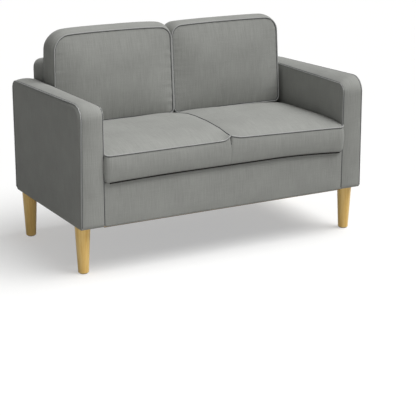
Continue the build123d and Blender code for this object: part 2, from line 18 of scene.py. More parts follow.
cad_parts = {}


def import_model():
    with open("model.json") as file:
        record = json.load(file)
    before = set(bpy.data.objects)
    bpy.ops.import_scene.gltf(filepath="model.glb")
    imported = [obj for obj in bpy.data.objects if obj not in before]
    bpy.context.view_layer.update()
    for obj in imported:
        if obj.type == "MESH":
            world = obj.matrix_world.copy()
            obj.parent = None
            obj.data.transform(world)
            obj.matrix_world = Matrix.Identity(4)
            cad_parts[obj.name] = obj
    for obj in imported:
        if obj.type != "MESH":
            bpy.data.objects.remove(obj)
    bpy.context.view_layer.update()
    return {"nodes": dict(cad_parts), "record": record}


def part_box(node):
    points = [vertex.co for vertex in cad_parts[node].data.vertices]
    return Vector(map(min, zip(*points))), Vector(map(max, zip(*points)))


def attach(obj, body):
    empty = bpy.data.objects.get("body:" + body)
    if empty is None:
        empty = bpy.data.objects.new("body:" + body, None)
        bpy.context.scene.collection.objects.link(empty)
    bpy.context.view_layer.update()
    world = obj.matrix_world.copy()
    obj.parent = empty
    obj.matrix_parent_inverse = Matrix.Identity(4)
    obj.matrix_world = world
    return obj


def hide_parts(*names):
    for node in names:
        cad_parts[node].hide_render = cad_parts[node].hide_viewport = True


Tree = bpy.types.NodeTree
Node = bpy.types.Node
Socket = bpy.types.NodeSocket
Piece = bpy.types.Object

MM = 0.001
TINY = 1e-9
# A point this close to an edge, in millimetres, counts as on it
ON_EDGE = 1.0
# A wave texture of scale 1 has one band to this length
WAVE_BAND = math.pi / 10
# Noise seldom leaves this span, so patterns stretch it over 0 to 1
NOISE_SPAN = (0.3, 0.7)
WHITE = (1.0, 1.0, 1.0, 1.0)
PANEL_MAP = "panel"
LOG = logging.getLogger("sofa")


class Side(Enum):
    """The two hands of the sofa, as the sign of X."""

    LEFT = -1
    RIGHT = 1

    @property
    def word(self) -> str:
        """Name of the side in node and piece names."""
        return self.name.lower()


class Coordinates(Enum):
    """What a pattern follows: the piece's own panels, or its place in the sofa."""

    PANEL = "panel"
    OBJECT = "object"


# Shader nodes


def linear(hex_colour: str) -> tuple[float, float, float, float]:
    """Turn an sRGB hex colour into linear RGBA, by the sRGB curve."""
    shade_lines = [int(hex_colour[start:start + 2], 16) / 255 for start in (1, 3, 5)]
    return (*(c / 12.92 if c <= 0.04045 else ((c + 0.055) / 1.055) ** 2.4 for c in shade_lines), 1.0)


def put(tree: Tree, kind: str, inputs: dict[Any, Any] | None = None, **settings: Any) -> Node:
    """Add a node with its settings and links.

    Args:
        tree: node tree to add to.
        kind: the node's type name.
        inputs: values or sockets for the node's inputs, by name or number.
        settings: properties of the node.

    Returns:
        The new node.
    """
    node = tree.nodes.new(kind)
    for name, value in settings.items():
        setattr(node, name, value)
    for socket, value in (inputs or {}).items():
        if isinstance(value, Socket):
            tree.links.new(value, node.inputs[socket])
        else:
            node.inputs[socket].default_value = value
    return node


def result(tree: Tree, kind: str, inputs: dict[Any, Any] | None = None, **settings: Any) -> Socket:
    """Add a node as put does and return its first output."""
    return put(tree, kind, inputs, **settings).outputs[0]


def maths(tree: Tree, operation: str, *values: Any) -> Socket:
    """Add a calculation on values or sockets and return its result."""
    return result(tree, "ShaderNodeMath", dict(enumerate(values)), operation=operation)


def blend_colours(tree: Tree, share: Any, first: Any, second: Any) -> Socket:
    """Mix two colours by a share and return the colour socket."""
    return put(tree, "ShaderNodeMix", {0: share, 6: first, 7: second}, data_type="RGBA").outputs[2]


def stretch(tree: Tree, value: Any, low: float, high: float) -> Socket:
    """Spread the part of a value between low and high over 0 to 1."""
    return result(tree, "ShaderNodeMapRange", {0: value, 1: low, 2: high})


def scaled(tree: Tree, where: Socket, sizes: Sequence[float]) -> Socket:
    """Scale coordinates so that the given sizes in millimetres along X, Y and Z measure 1."""
    scale = tuple(1 / (size * MM) for size in sizes)
    return result(tree, "ShaderNodeMapping", {"Vector": where, "Scale": scale})


def grains(tree: Tree, where: Socket, sizes: Sequence[float], detail: float = 2.0,
           twist: float = 0.0) -> Socket:
    """Add noise whose grains have the given sizes in millimetres along X, Y and Z."""
    noise = {"Vector": scaled(tree, where, sizes), "Scale": 1.0, "Detail": detail, "Distortion": twist}
    return result(tree, "ShaderNodeTexNoise", noise)


def bump(tree: Tree, height: Socket, depth: float, strength: float, over: Socket | None = None) -> Socket:
    """Turn a height into a normal.

    Args:
        tree: node tree to add to.
        height: height from 0 to 1.
        depth: depth of the relief, in millimetres.
        strength: share of the relief that shows.
        over: normal of a finer relief to start from.

    Returns:
        The normal.
    """
    values = {"Height": height, "Distance": depth * MM, "Strength": strength}
    if over is not None:
        values["Normal"] = over
    return result(tree, "ShaderNodeBump", values)


# Finishes


@dataclass(frozen=True)
class Finish:
    """One surface finish: a Principled shader between two colours, whose pattern each kind makes."""

    name: str
    colour: str
    dark: str
    roughness: float = 0.6
    metallic: float = 0.0
    sheen: float = 0.0
    specular: float = 0.5

    def material(self) -> bpy.types.Material:
        """Give the finish's material, made on first use.

        Returns:
            The material.
        """
        made = bpy.data.materials.get(self.name)
        if made is None:
            made = bpy.data.materials.new(self.name)
            made.use_nodes = True
            tree = made.node_tree
            inputs = tree.nodes["Principled BSDF"].inputs
            values = {"Roughness": self.roughness, "Metallic": self.metallic, "Sheen Weight": self.sheen,
                      "Specular IOR Level": self.specular}
            for name, value in values.items():
                inputs[name].default_value = value
            share, normal = self.pattern(tree)
            colour = blend_colours(tree, share, linear(self.dark), linear(self.colour))
            tree.links.new(colour, inputs["Base Color"])
            tree.links.new(normal, inputs["Normal"])
        return made

    def coordinates(self, tree: Tree) -> Socket:
        """Coordinates in metres in the sofa's own frame."""
        return put(tree, "ShaderNodeTexCoord").outputs["Object"]

    def pattern(self, tree: Tree) -> tuple[Socket, Socket]:
        """Make the share of the lighter colour, and the relief as a normal."""
        raise NotImplementedError


@dataclass(frozen=True)
class WovenLinen(Finish):
    """Linen-look polyester cloth: plain weave, with slubs that run down the panels.

    It gives the eye a matt grey with faint upright streaks. The real threads are about 0.8 mm
    apart, and they are drawn at 2.2 mm so that a close view shows them.

    Attributes:
        thread: distance between threads.
        slub: size of a slub along X, Y and Z; crosswise ones swap X and Y.
        cloud: size of the broad, faint changes of shade.
        cross_weight, cloud_weight, weave_weight: shares in the shade, where lengthwise slubs have 1.
        shade_span: the part of the shade's range that is used.
    """

    follows: Coordinates = Coordinates.PANEL
    thread: float = 2.2
    slub: tuple[float, float, float] = (3.5, 70.0, 70.0)
    cloud: float = 120.0
    cross_weight: float = 0.4
    cloud_weight: float = 0.8
    weave_weight: float = 0.6
    shade_span: tuple[float, float] = (0.2, 2.4)
    relief: float = 0.5
    relief_strength: float = 0.35

    def coordinates(self, tree: Tree) -> Socket:
        """Panel coordinates for cut cloth, frame coordinates for bias strips."""
        if self.follows is Coordinates.PANEL:
            return result(tree, "ShaderNodeUVMap", uv_map=PANEL_MAP)
        return super().coordinates(tree)

    def pattern(self, tree: Tree) -> tuple[Socket, Socket]:
        """Make weave and slubs.

        Args:
            tree: node tree to add to.

        Returns:
            The share of the lighter colour, and the normal.
        """
        where = self.coordinates(tree)
        wave = {"Vector": where, "Scale": WAVE_BAND / (self.thread * MM)}
        threads = [put(tree, "ShaderNodeTexWave", wave, bands_direction=way).outputs["Fac"] for way in "XY"]
        weave = maths(tree, "MULTIPLY", *threads)
        wide, long, deep = self.slub
        slub, cross, cloud = (stretch(tree, grains(tree, where, sizes, detail=3.0), *NOISE_SPAN)
                              for sizes in (self.slub, (long, wide, deep), (self.cloud,) * 3))
        shade = maths(tree, "MULTIPLY_ADD", cross, self.cross_weight, slub)
        shade = maths(tree, "MULTIPLY_ADD", cloud, self.cloud_weight, shade)
        shade = maths(tree, "MULTIPLY_ADD", weave, self.weave_weight, shade)
        height = maths(tree, "ADD", weave, maths(tree, "ADD", slub, cross))
        return stretch(tree, shade, *self.shade_span), bump(tree, height, self.relief, self.relief_strength)


@dataclass(frozen=True)
class SpunbondLining(Finish):
    """Black spunbond polypropylene: a matt cloth pressed with a grid of small dots, softly wrinkled."""

    dot: float = 3.0
    dot_scatter: float = 0.15
    dot_span: tuple[float, float] = (0.15, 0.45)
    dot_relief: float = 0.2
    dot_strength: float = 0.3
    wrinkle: float = 140.0
    wrinkle_twist: float = 0.6
    wrinkle_relief: float = 6.0
    wrinkle_strength: float = 0.5

    def pattern(self, tree: Tree) -> tuple[Socket, Socket]:
        """Make pressed dots and soft wrinkles.

        Args:
            tree: node tree to add to.

        Returns:
            The share of the lighter colour, and the normal.
        """
        where = self.coordinates(tree)
        spots = {"Vector": scaled(tree, where, (self.dot,) * 3), "Scale": 1.0, "Randomness": self.dot_scatter}
        pressed = stretch(tree, put(tree, "ShaderNodeTexVoronoi", spots).outputs["Distance"], *self.dot_span)
        wrinkles = grains(tree, where, (self.wrinkle,) * 3, twist=self.wrinkle_twist)
        fine = bump(tree, pressed, self.dot_relief, self.dot_strength)
        return pressed, bump(tree, wrinkles, self.wrinkle_relief, self.wrinkle_strength, over=fine)


@dataclass(frozen=True)
class StraightGrainWood(Finish):
    """Sawn or turned wood with its grain along one axis: rings as soft bands, pores as fine streaks."""

    ring: tuple[float, float, float] = (9.0, 9.0, 220.0)
    ring_twist: float = 0.8
    ring_span: tuple[float, float] = (0.32, 0.68)
    pore: tuple[float, float, float] = (1.4, 1.4, 26.0)
    pore_span: tuple[float, float] = (0.35, 0.65)
    pore_weight: float = 0.35
    relief: float = 0.05
    relief_strength: float = 0.4

    def pattern(self, tree: Tree) -> tuple[Socket, Socket]:
        """Make growth bands and pores in colour, and pores in relief.

        Args:
            tree: node tree to add to.

        Returns:
            The share of the lighter colour, and the normal.
        """
        where = self.coordinates(tree)
        rings = grains(tree, where, self.ring, detail=3.0, twist=self.ring_twist)
        bands = stretch(tree, rings, *self.ring_span)
        pores = stretch(tree, grains(tree, where, self.pore), *self.pore_span)
        shade = maths(tree, "ADD", bands, maths(tree, "MULTIPLY", pores, self.pore_weight))
        share = stretch(tree, shade, 0.0, 1 + self.pore_weight)
        return share, bump(tree, pores, self.relief, self.relief_strength)


@dataclass(frozen=True)
class Speckled(Finish):
    """Moulded, coated, plated or foamed surface: an even colour with a fine grit."""

    grit: float = 1.2
    relief: float = 0.05
    relief_strength: float = 0.5

    def pattern(self, tree: Tree) -> tuple[Socket, Socket]:
        """Make grit in colour and relief."""
        grit = stretch(tree, grains(tree, self.coordinates(tree), (self.grit,) * 3), *NOISE_SPAN)
        return grit, bump(tree, grit, self.relief, self.relief_strength)


LINEN = WovenLinen("woven_linen_grey", "#a2a39f", "#8e8f8b", roughness=0.92, sheen=0.15, specular=0.2)
# The cord's cloth is painted lighter than the panels: a painted highlight along the standing cord
PIPING_LINEN_PAINTED_HIGHLIGHT = WovenLinen("linen_grey_painted_highlight", "#b2b3b1", "#a2a3a1", roughness=0.9, sheen=0.15, specular=0.2,
                        follows=Coordinates.OBJECT)
# Dark cords beside the piping, along the seam between the seat halves and down the notch's fold: painted
# shade of the grooves and creases there
SEAM_PAINTED_SHADE = WovenLinen("linen_seam_painted_shade", "#55565a", "#47484c", roughness=0.95, specular=0.1,
                       follows=Coordinates.OBJECT)
LINING = SpunbondLining("spunbond_polypropylene_black", "#1d1b1a", "#131211", roughness=0.85, specular=0.25)
LEG_WOOD = StraightGrainWood("lacquered_rubberwood", "#ffdc8e", "#e6b860", roughness=0.38)
PLYWOOD = StraightGrainWood("poplar_plywood", "#d2b48a", "#b4946a", roughness=0.75, ring=(220.0, 14.0, 14.0),
                            pore=(30.0, 1.6, 1.6))
PINE = StraightGrainWood("sawn_pine", "#dcbd88", "#bd955c", roughness=0.7, ring=(260.0, 11.0, 11.0),
                         pore=(30.0, 1.6, 1.6))
FOAM = Speckled("polyurethane_foam", "#e6dcb8", "#d2c596", roughness=0.95, grit=1.6, relief=0.4)
WEBBING = WovenLinen("elastic_webbing", "#5a4636", "#3b2d22", roughness=0.9, thread=3.0,
                     follows=Coordinates.OBJECT)
ZINC = Speckled("zinc_plated_steel", "#c9c9cc", "#b3b3b8", roughness=0.32, metallic=1.0, grit=2.5,
                relief=0.01)
BLACK_STEEL = Speckled("powder_coated_steel_black", "#1e1e20", "#161617", roughness=0.45, grit=0.8)
RUBBER = Speckled("moulded_rubber_black", "#1a1a1a", "#141414", roughness=0.8, grit=1.0)
GLIDE_PLASTIC = Speckled("moulded_polyethylene_black", "#242424", "#1b1b1b", roughness=0.5, grit=1.0)

SLOT_FINISHES: dict[str, Finish] = {
    "grey_upholstery": LINEN, "black_lining": LINING, "foam": FOAM, "plywood": PLYWOOD, "pine": PINE,
    "leg_wood": LEG_WOOD, "webbing": WEBBING, "zinc_steel": ZINC, "black_steel": BLACK_STEEL,
    "rubber": RUBBER, "glide_plastic": GLIDE_PLASTIC,
}


# Meshes


def new_piece(name: str, points: Sequence[Any], edges: Sequence[Any] = (),
              faces: Sequence[Any] = ()) -> Piece:
    """Make a plain mesh and link it to the scene.

    Args:
        name: name of the piece.
        points: the points, in metres.
        edges: pairs of point numbers.
        faces: point numbers of each face.

    Returns:
        The piece.
    """
    mesh = bpy.data.meshes.new(name)
    mesh.from_pydata(points, edges, faces)
    made = bpy.data.objects.new(name, mesh)
    bpy.context.scene.collection.objects.link(made)
    return made


def point_array(mesh: bpy.types.Mesh) -> np.ndarray:
    """Read a mesh's points, one to a row."""
    points = np.zeros(3 * len(mesh.vertices), np.float32)
    mesh.vertices.foreach_get("co", points)
    return points.reshape(-1, 3).astype(float)


def edge_array(mesh: bpy.types.Mesh) -> np.ndarray:
    """Read the two point numbers of each edge, one edge to a row."""
    ends = np.zeros(2 * len(mesh.edges), np.int32)
    mesh.edges.foreach_get("vertices", ends)
    return ends.reshape(-1, 2)


def settle(made: Piece) -> None:
    """Bake a piece's modifiers into its own mesh and remove them.

    Args:
        made: the piece.
    """
    mesh = bpy.data.meshes.new_from_object(made.evaluated_get(bpy.context.evaluated_depsgraph_get()))
    made.modifiers.clear()
    old, made.data = made.data, mesh
    bpy.data.meshes.remove(old)
    mesh.name = made.name


def node_group(name: str, inputs: dict[str, str], output: str) -> Tree:
    """Start a tree of geometry nodes.

    Args:
        name: name of the tree.
        inputs: kind of each named input.
        output: name of the geometry that it gives.

    Returns:
        The tree, with its sockets and no nodes.
    """
    made = bpy.data.node_groups.new(name, "GeometryNodeTree")
    for label, kind in inputs.items():
        made.interface.new_socket(label, in_out="INPUT", socket_type=f"NodeSocket{kind}")
    made.interface.new_socket(output, in_out="OUTPUT", socket_type="NodeSocketGeometry")
    return made


def even_line(tree: Tree, edges: Socket, step: Socket) -> Socket:
    """Turn lines of edges into curves with points at even steps."""
    line = result(tree, "GeometryNodeMeshToCurve", {"Mesh": edges})
    return result(tree, "GeometryNodeResampleCurve", {"Curve": line, "Length": step}, mode="LENGTH")


def hand_over(tree: Tree, shape: Socket, material: Socket) -> None:
    """Make a tree's geometry real, dress it and give it out.

    Args:
        tree: the tree of geometry nodes.
        shape: the geometry.
        material: its material.
    """
    real = result(tree, "GeometryNodeRealizeInstances", {0: shape})
    dressed = result(tree, "GeometryNodeSetMaterial", {"Geometry": real, "Material": material})
    put(tree, "NodeGroupOutput", {0: dressed})


def grow(name: str, points: Sequence[Any], edges: Sequence[Any], tree: Tree, values: dict[str, Any]) -> Piece:
    """Grow a piece from lines of edges with geometry nodes, and keep it as a plain mesh.

    Args:
        name: name of the piece.
        points: points of the lines.
        edges: pairs of point numbers.
        tree: the tree of geometry nodes.
        values: values for the tree's inputs, by name.

    Returns:
        The piece.
    """
    made = new_piece(name, points, edges)
    nodes = made.modifiers.new(tree.name, "NODES")
    nodes.node_group = tree
    for socket in tree.interface.items_tree:
        if socket.name in values:
            nodes[socket.identifier] = values[socket.name]
    settle(made)
    return made


# Panel geometry


def resample(points: np.ndarray, count: int) -> np.ndarray:
    """Space points evenly along a polyline.

    Args:
        points: points of the polyline.
        count: number of steps.

    Returns:
        The count + 1 new points.
    """
    steps = np.linalg.norm(np.diff(points, axis=0), axis=1)
    along = np.concatenate([[0.0], np.cumsum(steps)])
    wanted = np.linspace(0.0, along[-1], count + 1)
    return np.column_stack([np.interp(wanted, along, column) for column in points.T])


def unit(vectors: np.ndarray) -> np.ndarray:
    """Scale each vector to length one."""
    return vectors / np.maximum(np.linalg.norm(vectors, axis=-1, keepdims=True), TINY)


def dome(count: int, power: float) -> np.ndarray:
    """Values over an edge of a panel that rise from 0 at both ends to 1 in the middle."""
    return 1 - np.abs(np.linspace(-1.0, 1.0, count + 1)) ** power


def cells(cell: float, *spans: float) -> list[int]:
    """Count cells of about one size, in millimetres, along each of some spans in metres."""
    return [round(span / (cell * MM)) for span in spans]


def upright(flat: np.ndarray, y: float) -> np.ndarray:
    """Stand a flat panel up at one depth."""
    return np.stack([flat[..., 0], np.full(flat.shape[:2], y), flat[..., 1]], axis=2)


def quads(numbers: np.ndarray) -> np.ndarray:
    """Four-cornered faces between the rows and columns of a grid of point numbers."""
    corners = (numbers[:-1, :-1], numbers[1:, :-1], numbers[1:, 1:], numbers[:-1, 1:])
    return np.stack(corners, axis=-1).reshape(-1, 4)


def run_of(border_mask: np.ndarray) -> np.ndarray:
    """Point numbers of the one stretch of a closed border where a mask is True, in order."""
    start = int(np.flatnonzero(border_mask & ~np.roll(border_mask, 1))[0])
    return (start + np.arange(int(np.sum(border_mask)))) % len(border_mask)


@dataclass
class Outline:
    """A four-cornered panel with round corners, anticlockwise from its lower left corner, in metres.

    Its grid has a corner in the middle of each corner arc.
    """

    corners: Sequence[tuple[float, float]]
    radii: Sequence[float]
    arc_steps: int = 12
    least_radius: float = 0.1 * MM

    def half_arcs(self, index: int) -> tuple[np.ndarray, np.ndarray]:
        """Draw one corner's arc.

        Args:
            index: number of the corner.

        Returns:
            The points up to the arc's middle, and from its middle on.
        """
        before, here, after = (np.array(self.corners[(index + step) % 4], float) for step in (-1, 0, 1))
        inward, outward = unit(here - before), unit(after - here)
        turn = math.acos(float(np.clip(inward @ outward, -1, 1)))
        radius = max(self.radii[index], self.least_radius)
        start = here - inward * radius * math.tan(turn / 2)
        centre = start + radius * np.array((-inward[1], inward[0]))
        angles = np.linspace(0, turn, 2 * self.arc_steps + 1)
        x, y = start - centre
        cosines, sines = np.cos(angles), np.sin(angles)
        arc = centre + np.column_stack([cosines * x - sines * y, sines * x + cosines * y])
        return arc[:self.arc_steps + 1], arc[self.arc_steps:]

    def grid(self, across: int, up: int) -> np.ndarray:
        """Fill the outline with a grid of points, blended from its four sides.

        Args:
            across: number of cells across.
            up: number of cells up.

        Returns:
            The points, across + 1 by up + 1 by 2.
        """
        halves = [self.half_arcs(index) for index in range(4)]
        sides = [np.concatenate([halves[index][1], halves[(index + 1) % 4][0]]) for index in range(4)]
        south, east = resample(sides[0], across)[:, None], resample(sides[1], up)[None]
        north, west = resample(sides[2], across)[::-1][:, None], resample(sides[3], up)[::-1][None]
        u = np.linspace(0, 1, across + 1)[:, None, None]
        v = np.linspace(0, 1, up + 1)[None, :, None]
        ends = (1 - u) * ((1 - v) * south[0] + v * north[0]) + u * ((1 - v) * south[-1] + v * north[-1])
        return (1 - v) * south + v * north + (1 - u) * west + u * east - ends


@dataclass
class BoxedForm:
    """Two matching panels and the boxing strip between them, as one closed mesh.

    Attributes:
        name: name of the piece.
        front: points of the first panel, across by up by 3.
        back: points of the second panel, matching the first.
        flat: the panels' own flat coordinates, for the weave.
        rows: rows of faces in the strip.
        swell: how far the strip swells between its seams, in metres, for each border point.
        bluntness: shape of that swell, from 0 for a box to 1 for a round.
        cut_along: True where the strip is cut along the cloth, so that its slubs run along it.
    """

    name: str
    front: np.ndarray
    back: np.ndarray
    flat: np.ndarray
    rows: int
    swell: np.ndarray
    bluntness: float = 0.7
    cut_along: bool = False

    @staticmethod
    def border_of(grid: np.ndarray) -> np.ndarray:
        """Numbers of a grid's border points, in order round it."""
        numbers = np.arange(grid.shape[0] * grid.shape[1]).reshape(grid.shape[:2])
        return np.concatenate([numbers[:-1, 0], numbers[-1, :-1], numbers[:0:-1, -1], numbers[0, :0:-1]])

    def __post_init__(self) -> None:
        """Work out the border, its outward directions and the strip's points."""
        self.border = self.border_of(self.front)
        self.panel_count = self.front.shape[0] * self.front.shape[1]
        first, second = (panel.reshape(-1, 3)[self.border] for panel in (self.front, self.back))
        along = np.roll(first, -1, axis=0) - np.roll(first, 1, axis=0)
        out = unit(np.cross(along, second - first))
        if np.sum(out * (first - first.mean(axis=0))) < 0:
            out = -out
        self.outward = out
        self.panel_way = unit(first.mean(axis=0) - second.mean(axis=0))
        self.shares = np.linspace(0, 1, self.rows + 1)[1:-1, None, None]
        self.rise = np.sin(math.pi * self.shares) ** self.bluntness
        self.strip = (1 - self.shares) * first + self.shares * second + self.rise * self.swell[:, None] * out

    def seam(self, of_back: bool, sideways: float, up: float, inward: float = 0.0) -> np.ndarray:
        """Find points along a seam.

        Args:
            of_back: True for the seam of the second panel.
            sideways: how far they lie out from the strip, in millimetres.
            up: how far they lie up from the panel, in millimetres.
            inward: how far they lie in from the panel's border, in millimetres.

        Returns:
            The points, in the border's order.
        """
        panel = self.back if of_back else self.front
        way = -self.panel_way if of_back else self.panel_way
        edge = panel.reshape(-1, 3)[self.border]
        row, column = np.unravel_index(self.border, panel.shape[:2])
        within = panel[np.clip(row, 1, panel.shape[0] - 2), np.clip(column, 1, panel.shape[1] - 2)]
        return edge + inward * MM * unit(within - edge) + sideways * MM * self.outward + up * MM * way

    def rings(self) -> np.ndarray:
        """Point numbers of the strip's rings, from the first panel's border to the second's."""
        size = len(self.border)
        inner = np.arange((self.rows - 1) * size).reshape(-1, size) + 2 * self.panel_count
        return np.concatenate([self.border[None], inner, self.border[None] + self.panel_count])

    def held(self, fixed: np.ndarray | None = None, back_fixed: bool = False) -> np.ndarray:
        """Mark the points that stay where they are when the cover swells.

        Args:
            fixed: True for each border point where the strip is fixed from seam to seam.
            back_fixed: True where the whole second panel is fixed.

        Returns:
            True or False for each point: both seams, and what is fixed.
        """
        rings = self.rings()
        marks = np.zeros(rings.max() + 1, bool)
        marks[rings[[0, -1]]] = True
        if fixed is not None:
            marks[rings[:, fixed]] = True
        if back_fixed:
            marks[self.panel_count:2 * self.panel_count] = True
        return marks

    def limits(self, front: float, back: float, strip: float) -> np.ndarray:
        """Furthest that each point may move as the cover swells, in metres, from sizes in millimetres."""
        counts = (self.panel_count, self.panel_count, (self.rows - 1) * len(self.border))
        return np.repeat(np.array((front, back, strip)) * MM, counts)

    def strip_map(self) -> np.ndarray:
        """Lay the strip flat: the run along the first seam by the mean width.

        Returns:
            Flat coordinates of the four corners of each of its faces.
        """
        loop, far = (panel.reshape(-1, 3)[self.border] for panel in (self.front, self.back))
        steps = np.linalg.norm(np.roll(loop, -1, axis=0) - loop, axis=1)
        run = np.concatenate([[0.0], np.cumsum(steps)])
        width = np.linspace(0, np.linalg.norm(far - loop, axis=1).mean(), self.rows + 1)
        left, low = np.meshgrid(run[:-1], width[:-1])
        right, high = np.meshgrid(run[1:], width[1:])
        corners = ((left, low), (left, high), (right, high), (right, low))
        laid = np.stack([np.stack(corner, axis=-1) for corner in corners], axis=2).reshape(-1, 4, 2)
        return laid[..., ::-1] if self.cut_along else laid

    def piece(self) -> Piece:
        """Make the mesh, with a crease on both seams and the panels' flat coordinates as its map.

        Returns:
            The piece.
        """
        points = np.concatenate([part.reshape(-1, 3) for part in (self.front, self.back, self.strip)])
        panel = quads(np.arange(self.panel_count).reshape(self.front.shape[:2]))
        rings = self.rings()
        strip = quads(np.concatenate([rings, rings[:, :1]], axis=1))
        faces = np.concatenate([panel, panel[:, ::-1] + self.panel_count, strip])
        flat = self.flat.reshape(-1, 2)
        maps = np.concatenate([flat[panel], flat[panel[:, ::-1]], self.strip_map()])
        corners = points[faces]
        if np.sum(np.cross(corners[:, 0], corners[:, 1]) * corners[:, 2]) < 0:
            faces, maps = faces[:, ::-1], maps[:, ::-1]
        made = new_piece(self.name, points.tolist(), [], faces.tolist())
        mesh = made.data
        layer = mesh.uv_layers.new(name=PANEL_MAP)
        layer.data.foreach_set("uv", np.ascontiguousarray(maps, np.float32).ravel())
        mesh.polygons.foreach_set("use_smooth", np.ones(len(faces), bool))
        on_seam = np.zeros(len(points), bool)
        on_seam[rings[[0, -1]]] = True
        creases = mesh.attributes.new("crease_edge", "FLOAT", "EDGE")
        creases.data.foreach_set("value", on_seam[edge_array(mesh)].all(axis=1).astype(np.float32))
        return made


# Upholstery


@dataclass(frozen=True)
class ClothPress:
    """Blows a sewn cover up with cloth simulation while its seams stay where they are."""

    pressure: float = 4.0
    frames: int = 20
    quality: int = 6
    spare_cloth: float = 0.005
    smoothing: int = 5
    evenness: float = 0.7

    def inflate(self, made: Piece, held: np.ndarray, caps: np.ndarray) -> None:
        """Swell a piece and keep the result.

        Args:
            made: the piece; its points are moved.
            held: True for each point that is sewn down.
            caps: the furthest that each point may move, in metres.
        """
        start = point_array(made.data)
        group = made.vertex_groups.new(name="sewn")
        group.add(np.flatnonzero(held).tolist(), 1.0, "REPLACE")
        cloth = made.modifiers.new("Cloth", "CLOTH")
        cloth.settings.quality = self.quality
        cloth.settings.vertex_group_mass = group.name
        cloth.settings.use_pressure = True
        cloth.settings.uniform_pressure_force = self.pressure
        cloth.settings.shrink_min = -self.spare_cloth
        cloth.settings.effector_weights.gravity = 0.0
        cloth.point_cache.frame_start, cloth.point_cache.frame_end = 1, self.frames
        scene = bpy.context.scene
        for number in range(1, self.frames + 1):
            scene.frame_set(number)
        swollen = point_array(made.evaluated_get(bpy.context.evaluated_depsgraph_get()).data)
        made.modifiers.remove(cloth)
        made.vertex_groups.remove(group)
        scene.frame_set(1)
        move = swollen - start
        size = np.linalg.norm(move, axis=1)
        capped = caps * np.tanh(size / np.maximum(caps, TINY))
        share = np.where(size > 0, capped / np.maximum(size, TINY), 0)
        move = self.smooth(made.data, move * share[:, None], held)
        made.data.vertices.foreach_set("co", (start + move).astype(np.float32).ravel())
        made.data.update()

    def smooth(self, mesh: bpy.types.Mesh, move: np.ndarray, held: np.ndarray) -> np.ndarray:
        """Even out the points' moves with their neighbours', as foam under the cloth does.

        Args:
            mesh: the piece's mesh.
            move: move of each point.
            held: True for each point that is sewn down.

        Returns:
            The evened moves.
        """
        ends = edge_array(mesh)
        first, second = ends.T
        degree = np.bincount(ends.ravel(), minlength=len(move))[:, None]
        for _ in range(self.smoothing):
            total = np.zeros_like(move)
            np.add.at(total, first, move[second])
            np.add.at(total, second, move[first])
            move = np.where(held[:, None], move, (1 - self.evenness) * move + self.evenness * total / degree)
        return move

    def upholster(self, form: BoxedForm, held: np.ndarray, caps: np.ndarray, body: str,
                  replaced: Sequence[str], fill: float) -> Piece:
        """Make a padded piece: swell it, round it once, dress it and seat it on its body.

        Args:
            form: the cover as it is cut.
            held: True for each point that is sewn down.
            caps: the furthest that each point may move, in metres.
            body: the body that carries the piece.
            replaced: nodes that it stands for.
            fill: how full it is, from 0 to 1; not used.

        Returns:
            The finished piece.
        """
        made = form.piece()
        self.inflate(made, held, caps)
        rounding = made.modifiers.new("Subdivision", "SUBSURF")
        rounding.levels = rounding.render_levels = 1
        settle(made)
        made.data.materials.append(LINEN.material())
        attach(made, body)
        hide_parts(*replaced)
        LOG.info("%s: %d faces on %s", made.name, len(made.data.polygons), body)
        return made


@dataclass(frozen=True)
class Cord:
    """A round cord along lines of points, drawn out with geometry nodes."""

    radius: float
    finish: Finish
    slot: str = "grey_upholstery"
    sides: int = 8
    spacing: float = 6.0

    @staticmethod
    def tree() -> Tree:
        """Give the geometry nodes that turn lines of edges into tubes, made on first use.

        Returns:
            The tree.
        """
        made = bpy.data.node_groups.get("cord")
        if made is None:
            kinds = {"Line": "Geometry", "Radius": "Float", "Sides": "Int", "Spacing": "Float",
                     "Cloth": "Material"}
            made = node_group("cord", kinds, "Tube")
            given = put(made, "NodeGroupInput").outputs
            even = even_line(made, given["Line"], given["Spacing"])
            circle = {"Resolution": given["Sides"], "Radius": given["Radius"]}
            ring = result(made, "GeometryNodeCurvePrimitiveCircle", circle)
            sweep = {"Curve": even, "Profile Curve": ring, "Fill Caps": True}
            tube = result(made, "GeometryNodeCurveToMesh", sweep)
            hand_over(made, result(made, "GeometryNodeSetShadeSmooth", {0: tube}), given["Cloth"])
        return made

    def lay(self, name: str, lines: Sequence[np.ndarray], closed: bool, body: str) -> None:
        """Make the cord along some lines as one piece on a body.

        Args:
            name: name of the piece.
            lines: points along each line.
            closed: True where each line runs round to its start.
            body: the body that carries it.
        """
        points, edges = [], []
        for line in lines:
            first, count = len(points), len(line)
            points.extend(line.tolist())
            steps = count if closed else count - 1
            edges.extend((first + k, first + (k + 1) % count) for k in range(steps))
        values = {"Radius": self.radius * MM, "Sides": self.sides, "Spacing": self.spacing * MM,
                  "Cloth": self.finish.material()}
        made = grow(name, points, edges, self.tree(), values)
        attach(made, body)
        LOG.info("%s: %d faces on %s", name, len(made.data.polygons), body)


